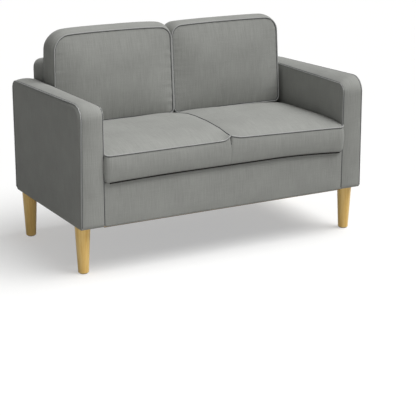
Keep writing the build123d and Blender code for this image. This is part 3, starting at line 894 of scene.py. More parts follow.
@dataclass(frozen=True)
class Piping:
    """Cord in a bias strip, sewn into a seam, with a thin dark cord of painted shade along both of its sides
    for the grooves beside it.

    Attributes:
        lift: how far the cord stands out of the seam, as a share of the cord's radius.
        reach: how far the painted shade lines lie from the seam, as a share of the cord's radius.
        rise: how far the painted shade lines stand out, as a share of the cord's radius.
        drop: how far down the panel the cord lies where the strip laps over it; 0 on the seam's edge.
    """

    # The cord's lighter cloth is a painted highlight
    cord: Cord = Cord(2.6, PIPING_LINEN_PAINTED_HIGHLIGHT)
    # Dark cords of painted shade in the grooves beside the cord
    shade_line: Cord = Cord(1.2, SEAM_PAINTED_SHADE, sides=6)
    lift: float = 0.5
    reach: float = 1.0
    rise: float = 0.2
    drop: float = 0.0

    def trim(self, name: str, form: BoxedForm, seams: Sequence[bool], keep: np.ndarray | None,
             body: str) -> None:
        """Sew piping into seams of a form.

        Args:
            name: start of the pieces' names.
            form: the form whose seams are trimmed.
            seams: False for the seam of the first panel, True for that of the second.
            keep: numbers of the border points to follow, or None to go all round.
            body: the body that carries the pieces.
        """
        radius = self.cord.radius
        out, along, low = self.lift * radius, self.reach * radius, self.rise * radius
        chosen = slice(None) if keep is None else keep
        if self.drop:
            middle = (0.0, out, self.drop)
            beside = ((0.0, low, self.drop - radius), (0.0, low, self.drop + radius))
        else:
            middle = (out, out)
            beside = ((-along, low), (low, -along))
        cords = [form.seam(back, *middle)[chosen] for back in seams]
        shade_lines = [form.seam(back, *way)[chosen] for back in seams for way in beside]
        self.cord.lay(f"{name}_piping", cords, keep is None, body)
        self.shade_line.lay(f"{name}_seam", shade_lines, keep is None, body)


@dataclass(frozen=True)
class Gathers:
    """Small folds that run into a panel from its seams.

    Attributes:
        pitch: distance between folds.
        reach: how far they run in.
        depth: how deep they are beside the seam.
        seed: number that sets their places.
        waves: number of waves that each seam's folds add up from.
        sizes: least and greatest length of a wave, as shares of the pitch.
        seam_fade: distance over which they start from the seam.
    """

    pitch: float
    reach: float
    depth: float
    seed: int
    waves: int = 5
    sizes: tuple[float, float] = (0.7, 2.2)
    seam_fade: float = 4.0

    def heights(self, flat: np.ndarray, side: Side) -> np.ndarray:
        """Work out the folds of one panel.

        Args:
            flat: the panel's flat coordinates.
            side: the hand of the sofa, so that its two sides differ.

        Returns:
            Heights over the panel, in metres.
        """
        numbers = np.random.default_rng(self.seed + side.value)
        height = np.zeros(flat.shape[:2])
        for edge, run in ((flat[:1], 1), (flat[-1:], 1), (flat[:, :1], 0), (flat[:, -1:], 0)):
            away = np.linalg.norm(flat - edge, axis=2) / MM
            along = flat[..., run] / MM
            sizes, phases = numbers.uniform(*self.sizes, self.waves), numbers.uniform(0, 1, self.waves)
            folds = sum(np.sin(2 * math.pi * (along / (self.pitch * size) + phase))
                        for size, phase in zip(sizes, phases)) / self.waves
            fade = np.exp(-away / self.reach)
            height += self.depth * MM * folds * fade * (1 - np.exp(-away / self.seam_fade))
        return height


# Upholstered pieces


@dataclass
class ArmPad:
    """One padded arm: an outer and an inner panel, and a crowned band over the front, top and rear.

    Attributes:
        inner_tops: heights of the inner panel's front and rear corners over the top of the arm's solid.
        outer_tops: the same for the outer panel.
        outer_inset: how far the outer panel lies in from the solid's face.
        outer_lean: how far its upper front edge is pulled in.
        edge_reach: width of the edge that is pulled in.
        crown: how far the band swells at the front and rear.
        top_crown: how far the band swells at the top.
        outer_swell, inner_swell, band_swell: furthest that the simulation moves the panels and the band.
    """

    side: Side
    press: ClothPress
    piping: Piping
    inner_tops: tuple[float, float] = (-17.0, -11.0)
    outer_tops: tuple[float, float] = (4.0, -9.0)
    outer_inset: float = 3.5
    outer_lean: float = 7.0
    edge_reach: float = 12.0
    front_radius: float = 60.0
    inner_radius: float = 36.0
    rear_radius: float = 38.0
    foot_radius: float = 8.0
    crown: float = 4.0
    top_crown: float = 8.0
    outer_swell: float = 3.5
    inner_swell: float = 1.5
    band_swell: float = 2.0
    band_rows: int = 10
    cell: float = 9.0
    fill: float = 0.5

    def panel(self, low: Vector, high: Vector, tops: tuple[float, float], front_radius: float) -> np.ndarray:
        """Cut one panel.

        Args:
            low: lower corner of the arm's box.
            high: upper corner of the arm's box.
            tops: heights of the panel's front and rear corners.
            front_radius: radius of its upper front corner.

        Returns:
            Its flat grid of points, in Y and Z.
        """
        front, rear = (high.z + top * MM for top in tops)
        corners = ((low.y, low.z), (high.y, low.z), (high.y, rear), (low.y, front))
        radii = [r * MM for r in (self.foot_radius, self.foot_radius, self.rear_radius, front_radius)]
        return Outline(corners, radii).grid(*cells(self.cell, high.y - low.y, high.z - low.z))

    def pull(self, flat: np.ndarray, border: np.ndarray, low: Vector, high: Vector) -> np.ndarray:
        """Work out how far the outer panel is pulled in along its edge, most at the upper front.

        Args:
            flat: the outer panel's flat grid.
            border: its border points.
            low: lower corner of the arm's box.
            high: upper corner of the arm's box.

        Returns:
            The share of the full pull for each point.
        """
        away = np.linalg.norm(flat[:, :, None] - border, axis=3).min(axis=2, keepdims=True)
        ahead = (high.y - flat[..., :1]) / (high.y - low.y)
        above = (flat[..., 1:] - low.z) / (high.z - low.z)
        return np.clip(1 - away / (self.edge_reach * MM), 0, 1) ** 2 * ahead * above

    def build(self) -> None:
        """Make the arm and the piping on its two edges."""
        node = f"{self.side.word}_arm_cover"
        low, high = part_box(node)
        low.y += self.crown * MM
        high.y -= self.crown * MM
        outer_x, inner_x = (high.x, low.x) if self.side is Side.RIGHT else (low.x, high.x)
        outer_x -= self.side.value * self.outer_inset * MM
        outer_flat = self.panel(low, high, self.outer_tops, self.front_radius)
        inner_flat = self.panel(low, high, self.inner_tops, self.inner_radius)
        border = outer_flat.reshape(-1, 2)[BoxedForm.border_of(outer_flat)]
        pulled = self.pull(outer_flat, border, low, high)
        outer_face = outer_x - self.side.value * self.outer_lean * MM * pulled
        outer = np.concatenate([outer_face, outer_flat], axis=2)
        inner = np.concatenate([np.full_like(outer_face, inner_x), inner_flat], axis=2)
        heights = border[:, 1]
        under = heights < low.z + self.foot_radius * MM / 2
        on_top = np.clip(1 - (high.z - heights) / (self.front_radius * MM), 0, 1)
        swell = np.where(under, 0.0, self.crown + (self.top_crown - self.crown) * on_top) * MM
        form = BoxedForm(f"{self.side.word}_arm_pad", outer, inner, outer_flat, self.band_rows, swell,
                         cut_along=True)
        caps = form.limits(self.outer_swell, self.inner_swell, self.band_swell)
        self.press.upholster(form, form.held(under), caps, "sofa_frame", [node], self.fill)
        self.piping.trim(f"{self.side.word}_arm", form, (False, True), run_of(~under), "sofa_frame")


@dataclass
class BackPad:
    """The padded back frame behind the cushions: a plain upholstered board with round edges."""

    press: ClothPress
    corner_radius: float = 30.0
    foot_radius: float = 2.0
    edge_inset: float = 4.0
    edge_rows: int = 8
    bluntness: float = 0.4
    swell: float = 3.0
    cell: float = 14.0
    fill: float = 0.3

    def build(self) -> None:
        """Make the back's cover."""
        low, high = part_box("back_cover")
        inset = self.edge_inset * MM
        left, right, top = low.x + inset, high.x - inset, high.z - inset
        corners = ((left, low.z), (right, low.z), (right, top), (left, top))
        radii = [r * MM for r in (self.foot_radius, self.foot_radius, self.corner_radius, self.corner_radius)]
        flat = Outline(corners, radii).grid(*cells(self.cell, high.x - low.x, high.z - low.z))
        under = flat.reshape(-1, 2)[BoxedForm.border_of(flat)][:, 1] < low.z + ON_EDGE * MM
        form = BoxedForm("back_pad", upright(flat, high.y), upright(flat, low.y), flat, self.edge_rows,
                         np.where(under, 0.0, inset), self.bluntness)
        caps = form.limits(self.swell, self.swell, self.swell)
        self.press.upholster(form, form.held(under), caps, "sofa_frame", ["back_cover"], self.fill)


@dataclass
class FrontPad:
    """The cloth and thin foam over the front rail, folded over its rim and under its lower edge."""

    press: ClothPress
    swell: float = 3.0
    cell: float = 12.0
    edge_radius: float = 4.0
    edge_rows: int = 5
    fill: float = 0.3

    def build(self) -> None:
        """Make the front panel."""
        low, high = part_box("front_cover")
        inset = self.edge_radius * MM
        foot, top = low.z + inset, high.z - inset
        corners = ((low.x, foot), (high.x, foot), (high.x, top), (low.x, top))
        flat = Outline(corners, (0.0,) * 4).grid(*cells(self.cell, high.x - low.x, high.z - low.z))
        ends = np.abs(flat.reshape(-1, 2)[BoxedForm.border_of(flat)][:, 0]) > high.x - ON_EDGE * MM
        form = BoxedForm("front_pad", upright(flat, low.y), upright(flat, high.y), flat, self.edge_rows,
                         np.where(ends, 0.0, inset))
        held = form.held(np.ones_like(ends), back_fixed=True)
        caps = form.limits(self.swell, self.swell, self.swell)
        self.press.upholster(form, held, caps, "sofa_frame", ["front_cover"], self.fill)


@dataclass(frozen=True)
class CornerSag:
    """How the seat's lower front edge hangs at its two ends, more at the right-hand one."""

    right: float = 14.0
    left: float = 5.0
    level_half: float = 218.0
    reach: float = 289.0
    power: float = 1.6

    def at(self, x: np.ndarray) -> np.ndarray:
        """Depth below level at each x, in metres."""
        share = np.clip((np.abs(x) / MM - self.level_half) / self.reach, 0, 1) ** self.power
        return np.where(x > 0, self.right, self.left) * share * MM


@dataclass
class SeatPad:
    """One half of the seat lid: a crowned top, a front with piping, and the cloth turned under the board.

    The notch is where the front piping of both halves climbs to the seam between them.

    Attributes:
        outer_rises: heights beside the arm over the piping's usual one, at shares of the depth from front.
        valley_rises: the same along the seam between the halves.
        valley_power: how fast the valley fades away from that seam.
        front_edge: rises of the front piping beside the notch and beside the arm.
        edge_fade: share of the depth over which these rises fade.
        front_band: share of the depth over which the notch's form gives way to the valley's.
        notch_reach: share of the front along which the piping climbs to the notch.
        notch_radius, notch_foot_radius: radius of the notch's corner at the top and at the hem.
        notch_fade: how fast that corner squares off down the front.
        notch_lap: how far the halves lap below the notch, so that the front is flush.
        notch_depth: how far the painted shade line of the fold runs down the front from the notch.
        fold_start: where the fold starts below the notch, with fold_points points down to its end.
        fold_off: how far the fold lies off the middle.
        fold_search: distance ahead of the notch from which the front's surface is searched.
        crest, crest_powers: height of the crown, and the powers of its curves across and along.
        lip_turn: depth of the front strip that ends at the lip.
        lip_tuck: how far the lip is tucked back.
        top_swell, strip_swell: furthest that the simulation moves the panels and the strip.
    """

    side: Side
    press: ClothPress
    piping: Piping
    # Dark cords of painted shade along the seam between the halves and down the notch's fold
    middle_seam: Cord = Cord(1.8, SEAM_PAINTED_SHADE, sides=6)
    notch_fold: Cord = Cord(2.4, SEAM_PAINTED_SHADE, sides=6, spacing=3.0)
    gathers: Gathers = Gathers(30.0, 26.0, 1.6, seed=5)
    sag: CornerSag = CornerSag()
    outer_rises: Sequence[tuple[float, float]] = (
        (0.0, 0.0), (0.03, 5.5), (0.1, 11.0), (0.3, 12.0), (0.8, 8.0), (0.93, 0.0), (1.0, -12.0))
    valley_rises: Sequence[tuple[float, float]] = (
        (0.0, 18.0), (0.03, 19.0), (0.08, 22.5), (0.18, 31.0), (0.36, 38.0),
        (0.55, 39.0), (0.68, 35.0), (0.85, 20.0), (0.93, 9.0), (1.0, -8.0))
    valley_power: float = 1.5
    front_edge: tuple[float, float] = (3.0, 2.5)
    edge_fade: float = 0.3
    front_band: float = 0.12
    notch_reach: float = 0.05
    notch_radius: float = 9.0
    notch_foot_radius: float = 0.3
    notch_fade: float = 2.2
    notch_lap: float = 8.0
    notch_depth: float = 33.0
    fold_start: float = 4.0
    fold_points: int = 9
    fold_off: float = 0.3
    fold_search: float = 60.0
    crest: float = 11.0
    crest_powers: tuple[float, float] = (3.5, 6.0)
    piping_height: float = 448.0
    corner_radius: float = 14.0
    rear_inner_radius: float = 0.2
    lip_height: float = 357.0
    lip_turn: float = 8.0
    lip_tuck: float = 3.0
    under_gap: float = 0.6
    seam_lift: float = 0.4
    cell: float = 9.0
    strip_rows: int = 11
    bluntness: float = 0.45
    front_bulge: float = 6.0
    side_bulge: float = 2.5
    top_swell: float = 10.0
    strip_swell: float = 3.0
    fill: float = 0.7

    def rises(self, u: np.ndarray, v: np.ndarray) -> np.ndarray:
        """Work out the top's heights over the piping's usual height.

        Args:
            u: shares of the width, from the seam between the halves.
            v: shares of the depth, from the front.

        Returns:
            The heights, in millimetres.
        """
        outer, valley = (np.interp(v, *zip(*curve)) for curve in (self.outer_rises, self.valley_rises))
        beside_notch, beside_arm = self.front_edge
        edge = beside_notch + (beside_arm - beside_notch) * u
        outer = outer + edge * np.clip(1 - v / self.edge_fade, 0, 1)
        behind = np.clip(v / self.front_band, 0, 1)
        notch = 1 - np.clip(u / self.notch_reach, 0, 1)
        rise = outer + (valley - outer) * ((1 - u) ** self.valley_power * behind + notch * (1 - behind))
        power_across, power_along = self.crest_powers
        crown = np.sqrt(np.clip(1 - np.abs(2 * v - 1) ** power_along, 0, 1))
        return rise + self.crest * (1 - np.abs(2 * u - 1) ** power_across) * crown

    def build(self) -> None:
        """Make the half seat, the piping along its front edge and, with the right half, dark cords of painted
        shade along the middle seam and down the notch's fold.
        """
        node = f"{self.side.word}_seat_cover"
        low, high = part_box(node)
        sign = self.side.value
        near, far = (low.x, high.x) if sign > 0 else (-high.x, -low.x)
        corners = ((near, low.y), (far, low.y), (far, high.y), (near, high.y))
        counts = cells(self.cell, far - near, high.y - low.y)
        other_radii = (self.corner_radius, self.corner_radius, self.rear_inner_radius)
        flat, below = (Outline(corners, [r * MM for r in (notch_radius, *other_radii)]).grid(*counts)
                       for notch_radius in (self.notch_radius, self.notch_foot_radius))
        at = flat.reshape(-1, 2)[BoxedForm.border_of(flat)]
        corner_change = (below.reshape(-1, 2)[BoxedForm.border_of(below)] - at) * (sign, 1)

        u = np.clip((flat[..., 0] - near) / (far - near), 0, 1)
        v = np.clip((flat[..., 1] - low.y) / (high.y - low.y), 0, 1)
        height = (self.piping_height + self.rises(u, v)) * MM + self.gathers.heights(flat, self.side)
        front_share = np.clip(1 - (below[..., 1] - low.y) / (self.lip_turn * MM), 0, 1)
        lip = self.lip_height * MM - self.sag.at(sign * below[..., 0])
        bottom = np.where(front_share > 0, lip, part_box("lid_lining")[0].z + self.under_gap * MM)
        below[..., 1] += front_share * self.lip_tuck * MM
        top_panel, under_panel = (np.stack([sign * plan[..., 0], plan[..., 1], z], axis=2)
                                  for plan, z in ((flat, height), (below, bottom)))

        corner = np.where(at[:, 0] < (near + far) / 2, self.notch_radius, self.corner_radius) * MM
        on_front = at[:, 1] < low.y + corner
        inner_side = (at[:, 0] < near + ON_EDGE * MM) & ~on_front
        swell = np.where(inner_side, 0.0, np.where(on_front, self.front_bulge, self.side_bulge) * MM)
        form = BoxedForm(f"{self.side.word}_seat_pad", top_panel, under_panel, flat, self.strip_rows, swell,
                         self.bluntness)
        squared = np.minimum(self.notch_fade * form.shares, 1)
        form.strip[..., :2] += (squared - form.shares) * corner_change
        notch = on_front & (at[:, 0] < near + self.notch_radius * MM)
        ahead = np.array((0.0, -1.0, 0.0))
        form.strip[:, notch] += form.rise * swell[notch, None] * (ahead - form.outward[notch])
        form.strip[:, notch, 0] -= sign * self.notch_lap * MM * squared[..., 0] ** 2

        held = form.held(inner_side, back_fixed=True)
        caps = form.limits(self.top_swell, self.top_swell, self.strip_swell)
        made = self.press.upholster(form, held, caps, "seat_lid", [node], self.fill)
        self.piping.trim(f"{self.side.word}_seat", form, (False,), run_of(on_front), "seat_lid")
        if self.side is Side.RIGHT:
            line = form.seam(False, 0.0, self.seam_lift)[inner_side]
            before_corner = line[:, 1] < high.y - self.corner_radius * MM
            # Painted shade: dark cords along the middle seam and down the notch's fold
            self.middle_seam.lay("seat_middle_seam_shade", [line[before_corner]], False, "seat_lid")
            self.notch_fold.lay("seat_notch_fold_shade", [self.notch_line(made, line[-1])], False, "seat_lid")

    def notch_line(self, made: Piece, top: np.ndarray) -> np.ndarray:
        """Find the line of the fold down the seat's front, on the surface of the right half, where a dark
        cord of painted shade goes.

        Args:
            made: the right half.
            top: front end of the seam between the halves.

        Returns:
            The points, from the top down.
        """
        skin = BVHTree.FromPolygons(point_array(made.data).tolist(),
                                    [tuple(face.vertices) for face in made.data.polygons])
        x, ahead = self.fold_off * MM, top[1] - self.fold_search * MM
        hits = [skin.ray_cast(Vector((x, ahead, top[2] - down * MM)), Vector((0, 1, 0)))[0]
                for down in np.linspace(self.fold_start, self.notch_depth, self.fold_points)]
        return np.array([tuple(hit) for hit in hits if hit])


@dataclass
class LidHemShadeLine:
    """The rolled front hem of the black lining, set at the lid's front as the dark line below the seat:
    partly the lining's own black, partly painted shade of the gap under the seat's front edge.
    """

    cord: Cord = Cord(2.6, LINING, "black_lining", spacing=20.0)
    sag: CornerSag = CornerSag()
    setback: float = 5.0
    end_gap: float = 16.0
    below_board: float = 2.6
    points: int = 60

    def build(self) -> None:
        """Make the hem along the lid's front."""
        low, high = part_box("right_seat_cover")
        end = high.x - self.end_gap * MM
        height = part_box("seat_board")[0].z - self.below_board * MM
        x = np.linspace(-end, end, self.points)
        line = np.column_stack([x, np.full_like(x, low.y + self.setback * MM), height - self.sag.at(x)])
        self.cord.lay("lid_lining_hem_shade_line", [line], False, "seat_lid")


@dataclass
class BackCushion:
    """One loose back cushion: a crowned front panel, a boxing strip and piping on both seams.

    Attributes:
        boxing: width of the boxing strip.
        lean: how far the front panel leans back, in degrees.
        inner_inset, outer_inset: how far the panels lie in from the solid's inner and outer side.
        taper: how much further in the outer side is at the top.
        edge_drop: how far the top seam lies below the solid's top.
        foot_rise: how far the lower seam lies above the solid's foot.
        rear_spread: how far the rear panel's outer side spreads.
        spread_rate: how fast that spread grows up the side.
        bow: how far the foot seam rises in its middle.
        arch: how far the top seam falls at its ends.
        crown: how far the front panel is crowned before it swells.
        side_swell, top_swell: how far the boxing strip swells at the sides and at the top.
        foot_share, head_share: shares of the height where the foot's swell ends and the top's begins.
        front_limit, rear_limit, boxing_limit: furthest that the simulation moves them.
    """

    side: Side
    press: ClothPress
    piping: Piping
    gathers: Gathers = Gathers(20.0, 26.0, 2.2, seed=11)
    boxing: float = 92.0
    boxing_rows: int = 12
    bluntness: float = 0.45
    lean: float = 4.0
    inner_inset: float = 2.8
    outer_inset: float = 3.0
    taper: float = 13.0
    edge_drop: float = 24.0
    foot_rise: float = -8.0
    rear_spread: float = 6.0
    spread_rate: float = 2.2
    bow: float = 2.0
    arch: float = 8.0
    inner_radius: float = 42.0
    outer_radius: float = 62.0
    foot_radius: float = 20.0
    crown: float = 18.0
    crown_power: float = 3.0
    side_swell: float = 11.0
    top_swell: float = 16.0
    foot_share: float = 0.1
    head_share: float = 0.2
    front_limit: float = 14.0
    rear_limit: float = 2.0
    boxing_limit: float = 2.5
    cell: float = 7.5
    fill: float = 0.8

    def panel(self, low: Vector, high: Vector) -> np.ndarray:
        """Cut the front panel.

        Args:
            low: lower corner of the cushion's box.
            high: upper corner of the cushion's box.

        Returns:
            Its flat grid of points, from the middle of the cushion.
        """
        half, tall = (high.x - low.x) / 2, (high.z - low.z) / 2
        foot, head = -tall + self.foot_rise * MM, tall - self.edge_drop * MM
        inner, outer = half - self.inner_inset * MM, half - self.outer_inset * MM
        corners = ((-inner, foot), (outer, foot), (outer - self.taper * MM, head), (-inner, head))
        radii = [r * MM for r in (self.foot_radius, self.foot_radius, self.outer_radius, self.inner_radius)]
        flat = Outline(corners, radii).grid(*cells(self.cell, high.x - low.x, high.z - low.z))
        side = np.abs(flat[..., 0]) / half
        share = np.clip((flat[..., 1] - foot) / (head - foot), 0, 1)
        bowed = self.bow * (1 - side ** 4) * (1 - share) ** 2
        arched = self.arch * side ** 3 * share ** 2
        flat[..., 1] += (bowed - arched) * MM
        return flat[::-1] * (-1, 1) if self.side is Side.LEFT else flat

    def build(self) -> None:
        """Make the cushion and its piping."""
        node = f"{self.side.word}_cushion_cover"
        low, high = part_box(node)
        middle = (low + high) / 2
        flat = self.panel(low, high)
        x, z = flat[..., 0], flat[..., 1]
        sine, cosine = math.sin(math.radians(self.lean)), math.cos(math.radians(self.lean))
        over_width, over_height = (dome(count - 1, self.crown_power) for count in flat.shape[:2])
        crown = over_width[:, None] * over_height[None, :] * self.crown * MM
        crown += self.gathers.heights(flat, self.side)
        front_y = high.y - self.boxing * MM
        front = np.stack([middle.x + x, front_y + z * sine - crown * cosine,
                          middle.z + z * cosine + crown * sine], axis=2)
        outer = np.clip(self.side.value * x / x.max(), 0, 1)
        tall = (z - z.min()) / np.ptp(z)
        spread = self.side.value * self.rear_spread * MM * outer * np.clip(self.spread_rate * tall, 0, 1)
        back = np.stack([middle.x + x + spread, np.full(x.shape, high.y), middle.z + z], axis=2)

        border = BoxedForm.border_of(flat)
        share, room = tall.ravel()[border], (high.x - low.x) / 2 - np.abs(x.ravel()[border])
        sides = np.minimum(self.side_swell, room / MM) * np.clip(share / self.foot_share, 0, 1)
        at_head = np.clip((share - (1 - self.head_share)) / self.head_share, 0, 1)
        swell = (sides + at_head * (self.top_swell - sides)) * MM
        body = f"{self.side.word}_back_cushion"
        form = BoxedForm(body, front, back, flat, self.boxing_rows, swell, self.bluntness, cut_along=True)
        caps = form.limits(self.front_limit, self.rear_limit, self.boxing_limit)
        replaced = [node, f"{self.side.word}_cushion_core"]
        self.press.upholster(form, form.held(), caps, body, replaced, self.fill)
        self.piping.trim(f"{self.side.word}_cushion", form, (False, True), None, body)


# Lining and staples


@dataclass(frozen=True)
class Staples:
    """Upholstery staples in rows, set out with geometry nodes."""

    pitch: float = 52.0
    crown: tuple[float, float, float] = (10.0, 1.2, 0.8)

    @staticmethod
    def tree() -> Tree:
        """Give the geometry nodes that set staples at even steps along lines of edges, made on first use.

        Returns:
            The tree.
        """
        made = bpy.data.node_groups.get("staples")
        if made is None:
            kinds = {"Line": "Geometry", "Pitch": "Float", "Crown": "Vector", "Steel": "Material"}
            made = node_group("staples", kinds, "Row")
            given = put(made, "NodeGroupInput").outputs
            even = even_line(made, given["Line"], given["Pitch"])
            crown = result(made, "GeometryNodeMeshCube", {"Size": given["Crown"]})
            tangent = result(made, "GeometryNodeInputTangent")
            turned = result(made, "FunctionNodeAlignRotationToVector", {"Vector": tangent}, axis="X")
            places = {"Points": even, "Instance": crown, "Rotation": turned}
            hand_over(made, result(made, "GeometryNodeInstanceOnPoints", places), given["Steel"])
        return made

    def drive(self, name: str, rows: Sequence[np.ndarray]) -> None:
        """Make rows of staples as one piece on the frame.

        Args:
            name: name of the piece.
            rows: both ends of each row.
        """
        points = [tuple(point) for row in rows for point in row]
        edges = [(k, k + 1) for k in range(0, len(points), 2)]
        values = {"Pitch": self.pitch * MM, "Crown": tuple(side * MM for side in self.crown),
                  "Steel": ZINC.material()}
        made = grow(name, points, edges, self.tree(), values)
        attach(made, "sofa_frame")
        LOG.info("%s: %d faces on sofa_frame", name, len(made.data.polygons))


@dataclass(frozen=True)
class Wall:
    """A wall of the storage box, and the way from its outer face to the inside."""

    node: str
    inward: tuple[float, float]


@dataclass
class RimLining:
    """Black lining turned over the rims of the storage box, down to the lining inside it."""

    walls: Sequence[Wall] = (Wall("left_side_rail", (1.0, 0.0)), Wall("right_side_rail", (-1.0, 0.0)),
                             Wall("rear_rail", (0.0, -1.0)))
    thickness: float = 0.8
    drop: float = 4.0
    staples_in: float = 10.0
    staples_end: float = 30.0

    def build(self) -> None:
        """Make a strip over each wall and a row of staples along it."""
        Staples().drive("rim_staples", [self.strip(wall) for wall in self.walls])

    def strip(self, wall: Wall) -> np.ndarray:
        """Make the strip over one wall.

        Args:
            wall: the wall.

        Returns:
            Both ends of its row of staples.
        """
        low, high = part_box(wall.node)
        inward = np.array((*wall.inward, 0.0))
        along = np.array((abs(wall.inward[1]), abs(wall.inward[0]), 0.0))
        up = np.array((0.0, 0.0, 1.0))
        size, middle = np.array(high - low), np.array(low + high) / 2
        width, length = float(np.abs(inward) @ size), float(along @ size)
        outer_edge = middle - inward * width / 2
        outer_edge[2] = high.z
        thick, drop = self.thickness * MM, self.drop * MM
        reach = width + thick
        profile = ((0, 0), (0, thick), (reach, thick), (reach, -drop), (width, -drop), (width, 0))
        points = [tuple(outer_edge + end * along * length / 2 + across * inward + height * up)
                  for end in (-1, 1) for across, height in profile]
        count = len(profile)
        faces = [(k, (k + 1) % count, (k + 1) % count + count, k + count) for k in range(count)]
        caps = ((0, 1, 2, 5), (5, 2, 3, 4))
        faces += [cap[::-1] for cap in caps] + [tuple(k + count for k in cap) for cap in caps]
        if np.cross(inward, along)[2] > 0:
            faces = [face[::-1] for face in faces]
        name = f"{wall.node}_rim_lining"
        made = new_piece(name, points, [], faces)
        made.data.materials.append(LINING.material())
        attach(made, "sofa_frame")
        LOG.info("%s: %d faces on sofa_frame", name, len(faces))
        row = outer_edge + inward * self.staples_in * MM + up * thick
        inset = along * (length / 2 - self.staples_end * MM)
        return np.array([row - inset, row + inset])


@dataclass
class DustCoverStaples:
    """Staples that hold the dust cover to the underside of the base."""

    edge: float = 12.0
    corner: float = 40.0

    def build(self) -> None:
        """Make a row along each side, short of the corners."""
        low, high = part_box("dust_cover")
        near, far = np.array(low) + self.edge * MM, np.array(high) - self.edge * MM
        inset = (self.corner - self.edge) * MM
        z = low.z
        rows = [np.array([(near[0] + inset, y, z), (far[0] - inset, y, z)]) for y in (near[1], far[1])]
        rows += [np.array([(x, near[1] + inset, z), (x, far[1] - inset, z)]) for x in (near[0], far[0])]
        Staples().drive("dust_cover_staples", rows)


# Studio


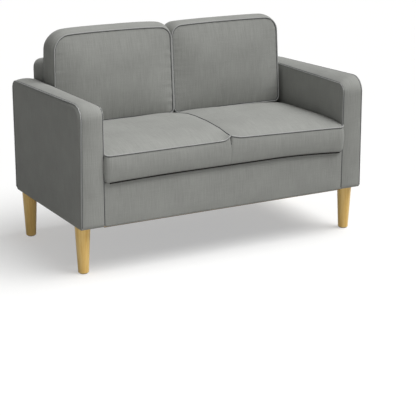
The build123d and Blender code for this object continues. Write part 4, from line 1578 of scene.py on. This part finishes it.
@dataclass
class Studio:
    """Pale floor, soft light and the photograph's camera.

    Attributes:
        roll: turn of the camera about its own axis, in degrees.
        key_way: the way from the sofa to the key light.
        key_spread: angle that the key light fills, in degrees.
        floor_half: half the floor's width, in metres.
        floor_seen: the floor's colour to the camera.
        floor_bounce: its colour to the light that it throws back.
        floor_glow: how much it shines to the camera.
    """

    camera_at: tuple[float, float, float] = (-2438.8, -4493.9, 1649.9)
    looks_at: tuple[float, float, float] = (81.3, -13.1, 89.1)
    lens: float = 115.0
    roll: float = 0.184
    key_way: tuple[float, float, float] = (0.42, -0.29, 0.90)
    key_strength: float = 3.1
    key_spread: float = 50.0
    fill_at: tuple[float, float, float] = (-900.0, -3000.0, 500.0)
    fill_aims_at: tuple[float, float, float] = (-200.0, 0.0, 300.0)
    fill_power: float = 17.5
    fill_size: float = 1200.0
    ambient: float = 0.155
    floor_half: float = 40.0
    floor_seen: str = "#c8c8c7"
    floor_bounce: str = "#a4a4a2"
    floor_glow: float = 0.42

    def build(self) -> None:
        """Set the scene up."""
        scene = bpy.context.scene
        scene.view_settings.view_transform = "Standard"
        self.place_camera(scene)
        self.light(scene)
        self.lay_floor()

    def place_camera(self, scene: bpy.types.Scene) -> None:
        """Stand the camera where the photograph was taken from.

        Args:
            scene: the scene.
        """
        data = bpy.data.cameras.new("camera")
        data.lens = self.lens
        camera = bpy.data.objects.new("camera", data)
        eye, target = Vector(self.camera_at) * MM, Vector(self.looks_at) * MM
        turn = (target - eye).to_track_quat("-Z", "Y").to_matrix().to_4x4()
        roll = Matrix.Rotation(math.radians(self.roll), 4, "Z")
        camera.matrix_world = Matrix.Translation(eye) @ turn @ roll
        scene.collection.objects.link(camera)
        scene.camera = camera

    @staticmethod
    def hang(scene: bpy.types.Scene, name: str, kind: str, turn: Quaternion) -> Piece:
        """Add a light.

        Args:
            scene: the scene.
            name: name of the light.
            kind: its type.
            turn: its rotation.

        Returns:
            The light.
        """
        made = bpy.data.objects.new(name, bpy.data.lights.new(name, kind))
        made.rotation_mode = "QUATERNION"
        made.rotation_quaternion = turn
        scene.collection.objects.link(made)
        return made

    def light(self, scene: bpy.types.Scene) -> None:
        """Set a wide key light from the right, a low panel of light from the front left and a weak sky.

        Args:
            scene: the scene.
        """
        key = self.hang(scene, "key", "SUN", Vector(self.key_way).to_track_quat("Z", "Y"))
        key.data.energy = self.key_strength
        key.data.angle = math.radians(self.key_spread)
        aim = Vector(self.fill_aims_at) - Vector(self.fill_at)
        fill = self.hang(scene, "fill", "AREA", aim.to_track_quat("-Z", "Y"))
        fill.location = Vector(self.fill_at) * MM
        fill.data.energy = self.fill_power
        fill.data.size = self.fill_size * MM
        fill.visible_camera = False
        scene.world = bpy.data.worlds.new("studio")
        scene.world.use_nodes = True
        tree = scene.world.node_tree
        sky = tree.nodes["Background"]
        sky.inputs["Color"].default_value = WHITE
        strength = result(tree, "ShaderNodeMapRange", {0: self.seen_directly(tree), 3: self.ambient, 4: 1.0})
        tree.links.new(strength, sky.inputs["Strength"])

    @staticmethod
    def seen_directly(tree: Tree) -> Socket:
        """1 for camera, glossy and transmission rays, else 0."""
        path = put(tree, "ShaderNodeLightPath").outputs
        first = maths(tree, "MAXIMUM", path["Is Camera Ray"], path["Is Glossy Ray"])
        return maths(tree, "MAXIMUM", first, path["Is Transmission Ray"])

    def lay_floor(self) -> None:
        """Lay a wide pale floor that keeps the sofa's shadow."""
        half = self.floor_half
        corners = [(-half, -half, 0), (half, -half, 0), (half, half, 0), (-half, half, 0)]
        floor = new_piece("floor", corners, [], [(0, 1, 2, 3)])
        finish = bpy.data.materials.new("painted_studio_floor")
        finish.use_nodes = True
        tree = finish.node_tree
        inputs = tree.nodes["Principled BSDF"].inputs
        inputs["Roughness"].default_value = 1.0
        inputs["Specular IOR Level"].default_value = 0.0
        inputs["Emission Color"].default_value = WHITE
        seen = self.seen_directly(tree)
        colour = blend_colours(tree, seen, linear(self.floor_bounce), linear(self.floor_seen))
        tree.links.new(colour, inputs["Base Color"])
        tree.links.new(maths(tree, "MULTIPLY", seen, self.floor_glow), inputs["Emission Strength"])
        floor.data.materials.append(finish)


def dress_frame(frame: dict[str, Any]) -> None:
    """Give every node of the frame the finish of its slot.

    Args:
        frame: the loaded frame.
    """
    slots = {part["node"]: part["material_slot"] for part in frame["record"]["subparts"]}
    for name, node in frame["nodes"].items():
        node.data.materials.clear()
        node.data.materials.append(SLOT_FINISHES[slots[name]].material())


def main() -> None:
    """Build the sofa's looks and the studio."""
    logging.basicConfig(level=logging.INFO, format="%(name)s: %(message)s")
    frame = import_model()
    dress_frame(frame)
    press = ClothPress()
    piping = Piping()
    lapped = Piping(drop=2.6)
    pieces = (
        ArmPad(Side.LEFT, press, lapped, inner_tops=(-4.0, -10.0), outer_tops=(9.0, -5.0), outer_lean=10.0),
        ArmPad(Side.RIGHT, press, lapped, inner_tops=(-20.0, -15.0), outer_tops=(2.0, -19.0)),
        SeatPad(Side.LEFT, press, piping),
        SeatPad(Side.RIGHT, press, piping, front_edge=(10.0, -6.0), notch_reach=0.08),
        BackCushion(Side.LEFT, press, piping),
        BackCushion(Side.RIGHT, press, piping, outer_inset=21.0, taper=4.0, edge_drop=23.5, arch=5.0,
                    top_swell=9.0, outer_radius=54.0),
        LidHemShadeLine(),
        RimLining(),
        DustCoverStaples(),
        BackPad(press),
        FrontPad(press),
        Studio(),
    )
    for piece in pieces:
        piece.build()


if __name__ == "__main__":
    main()
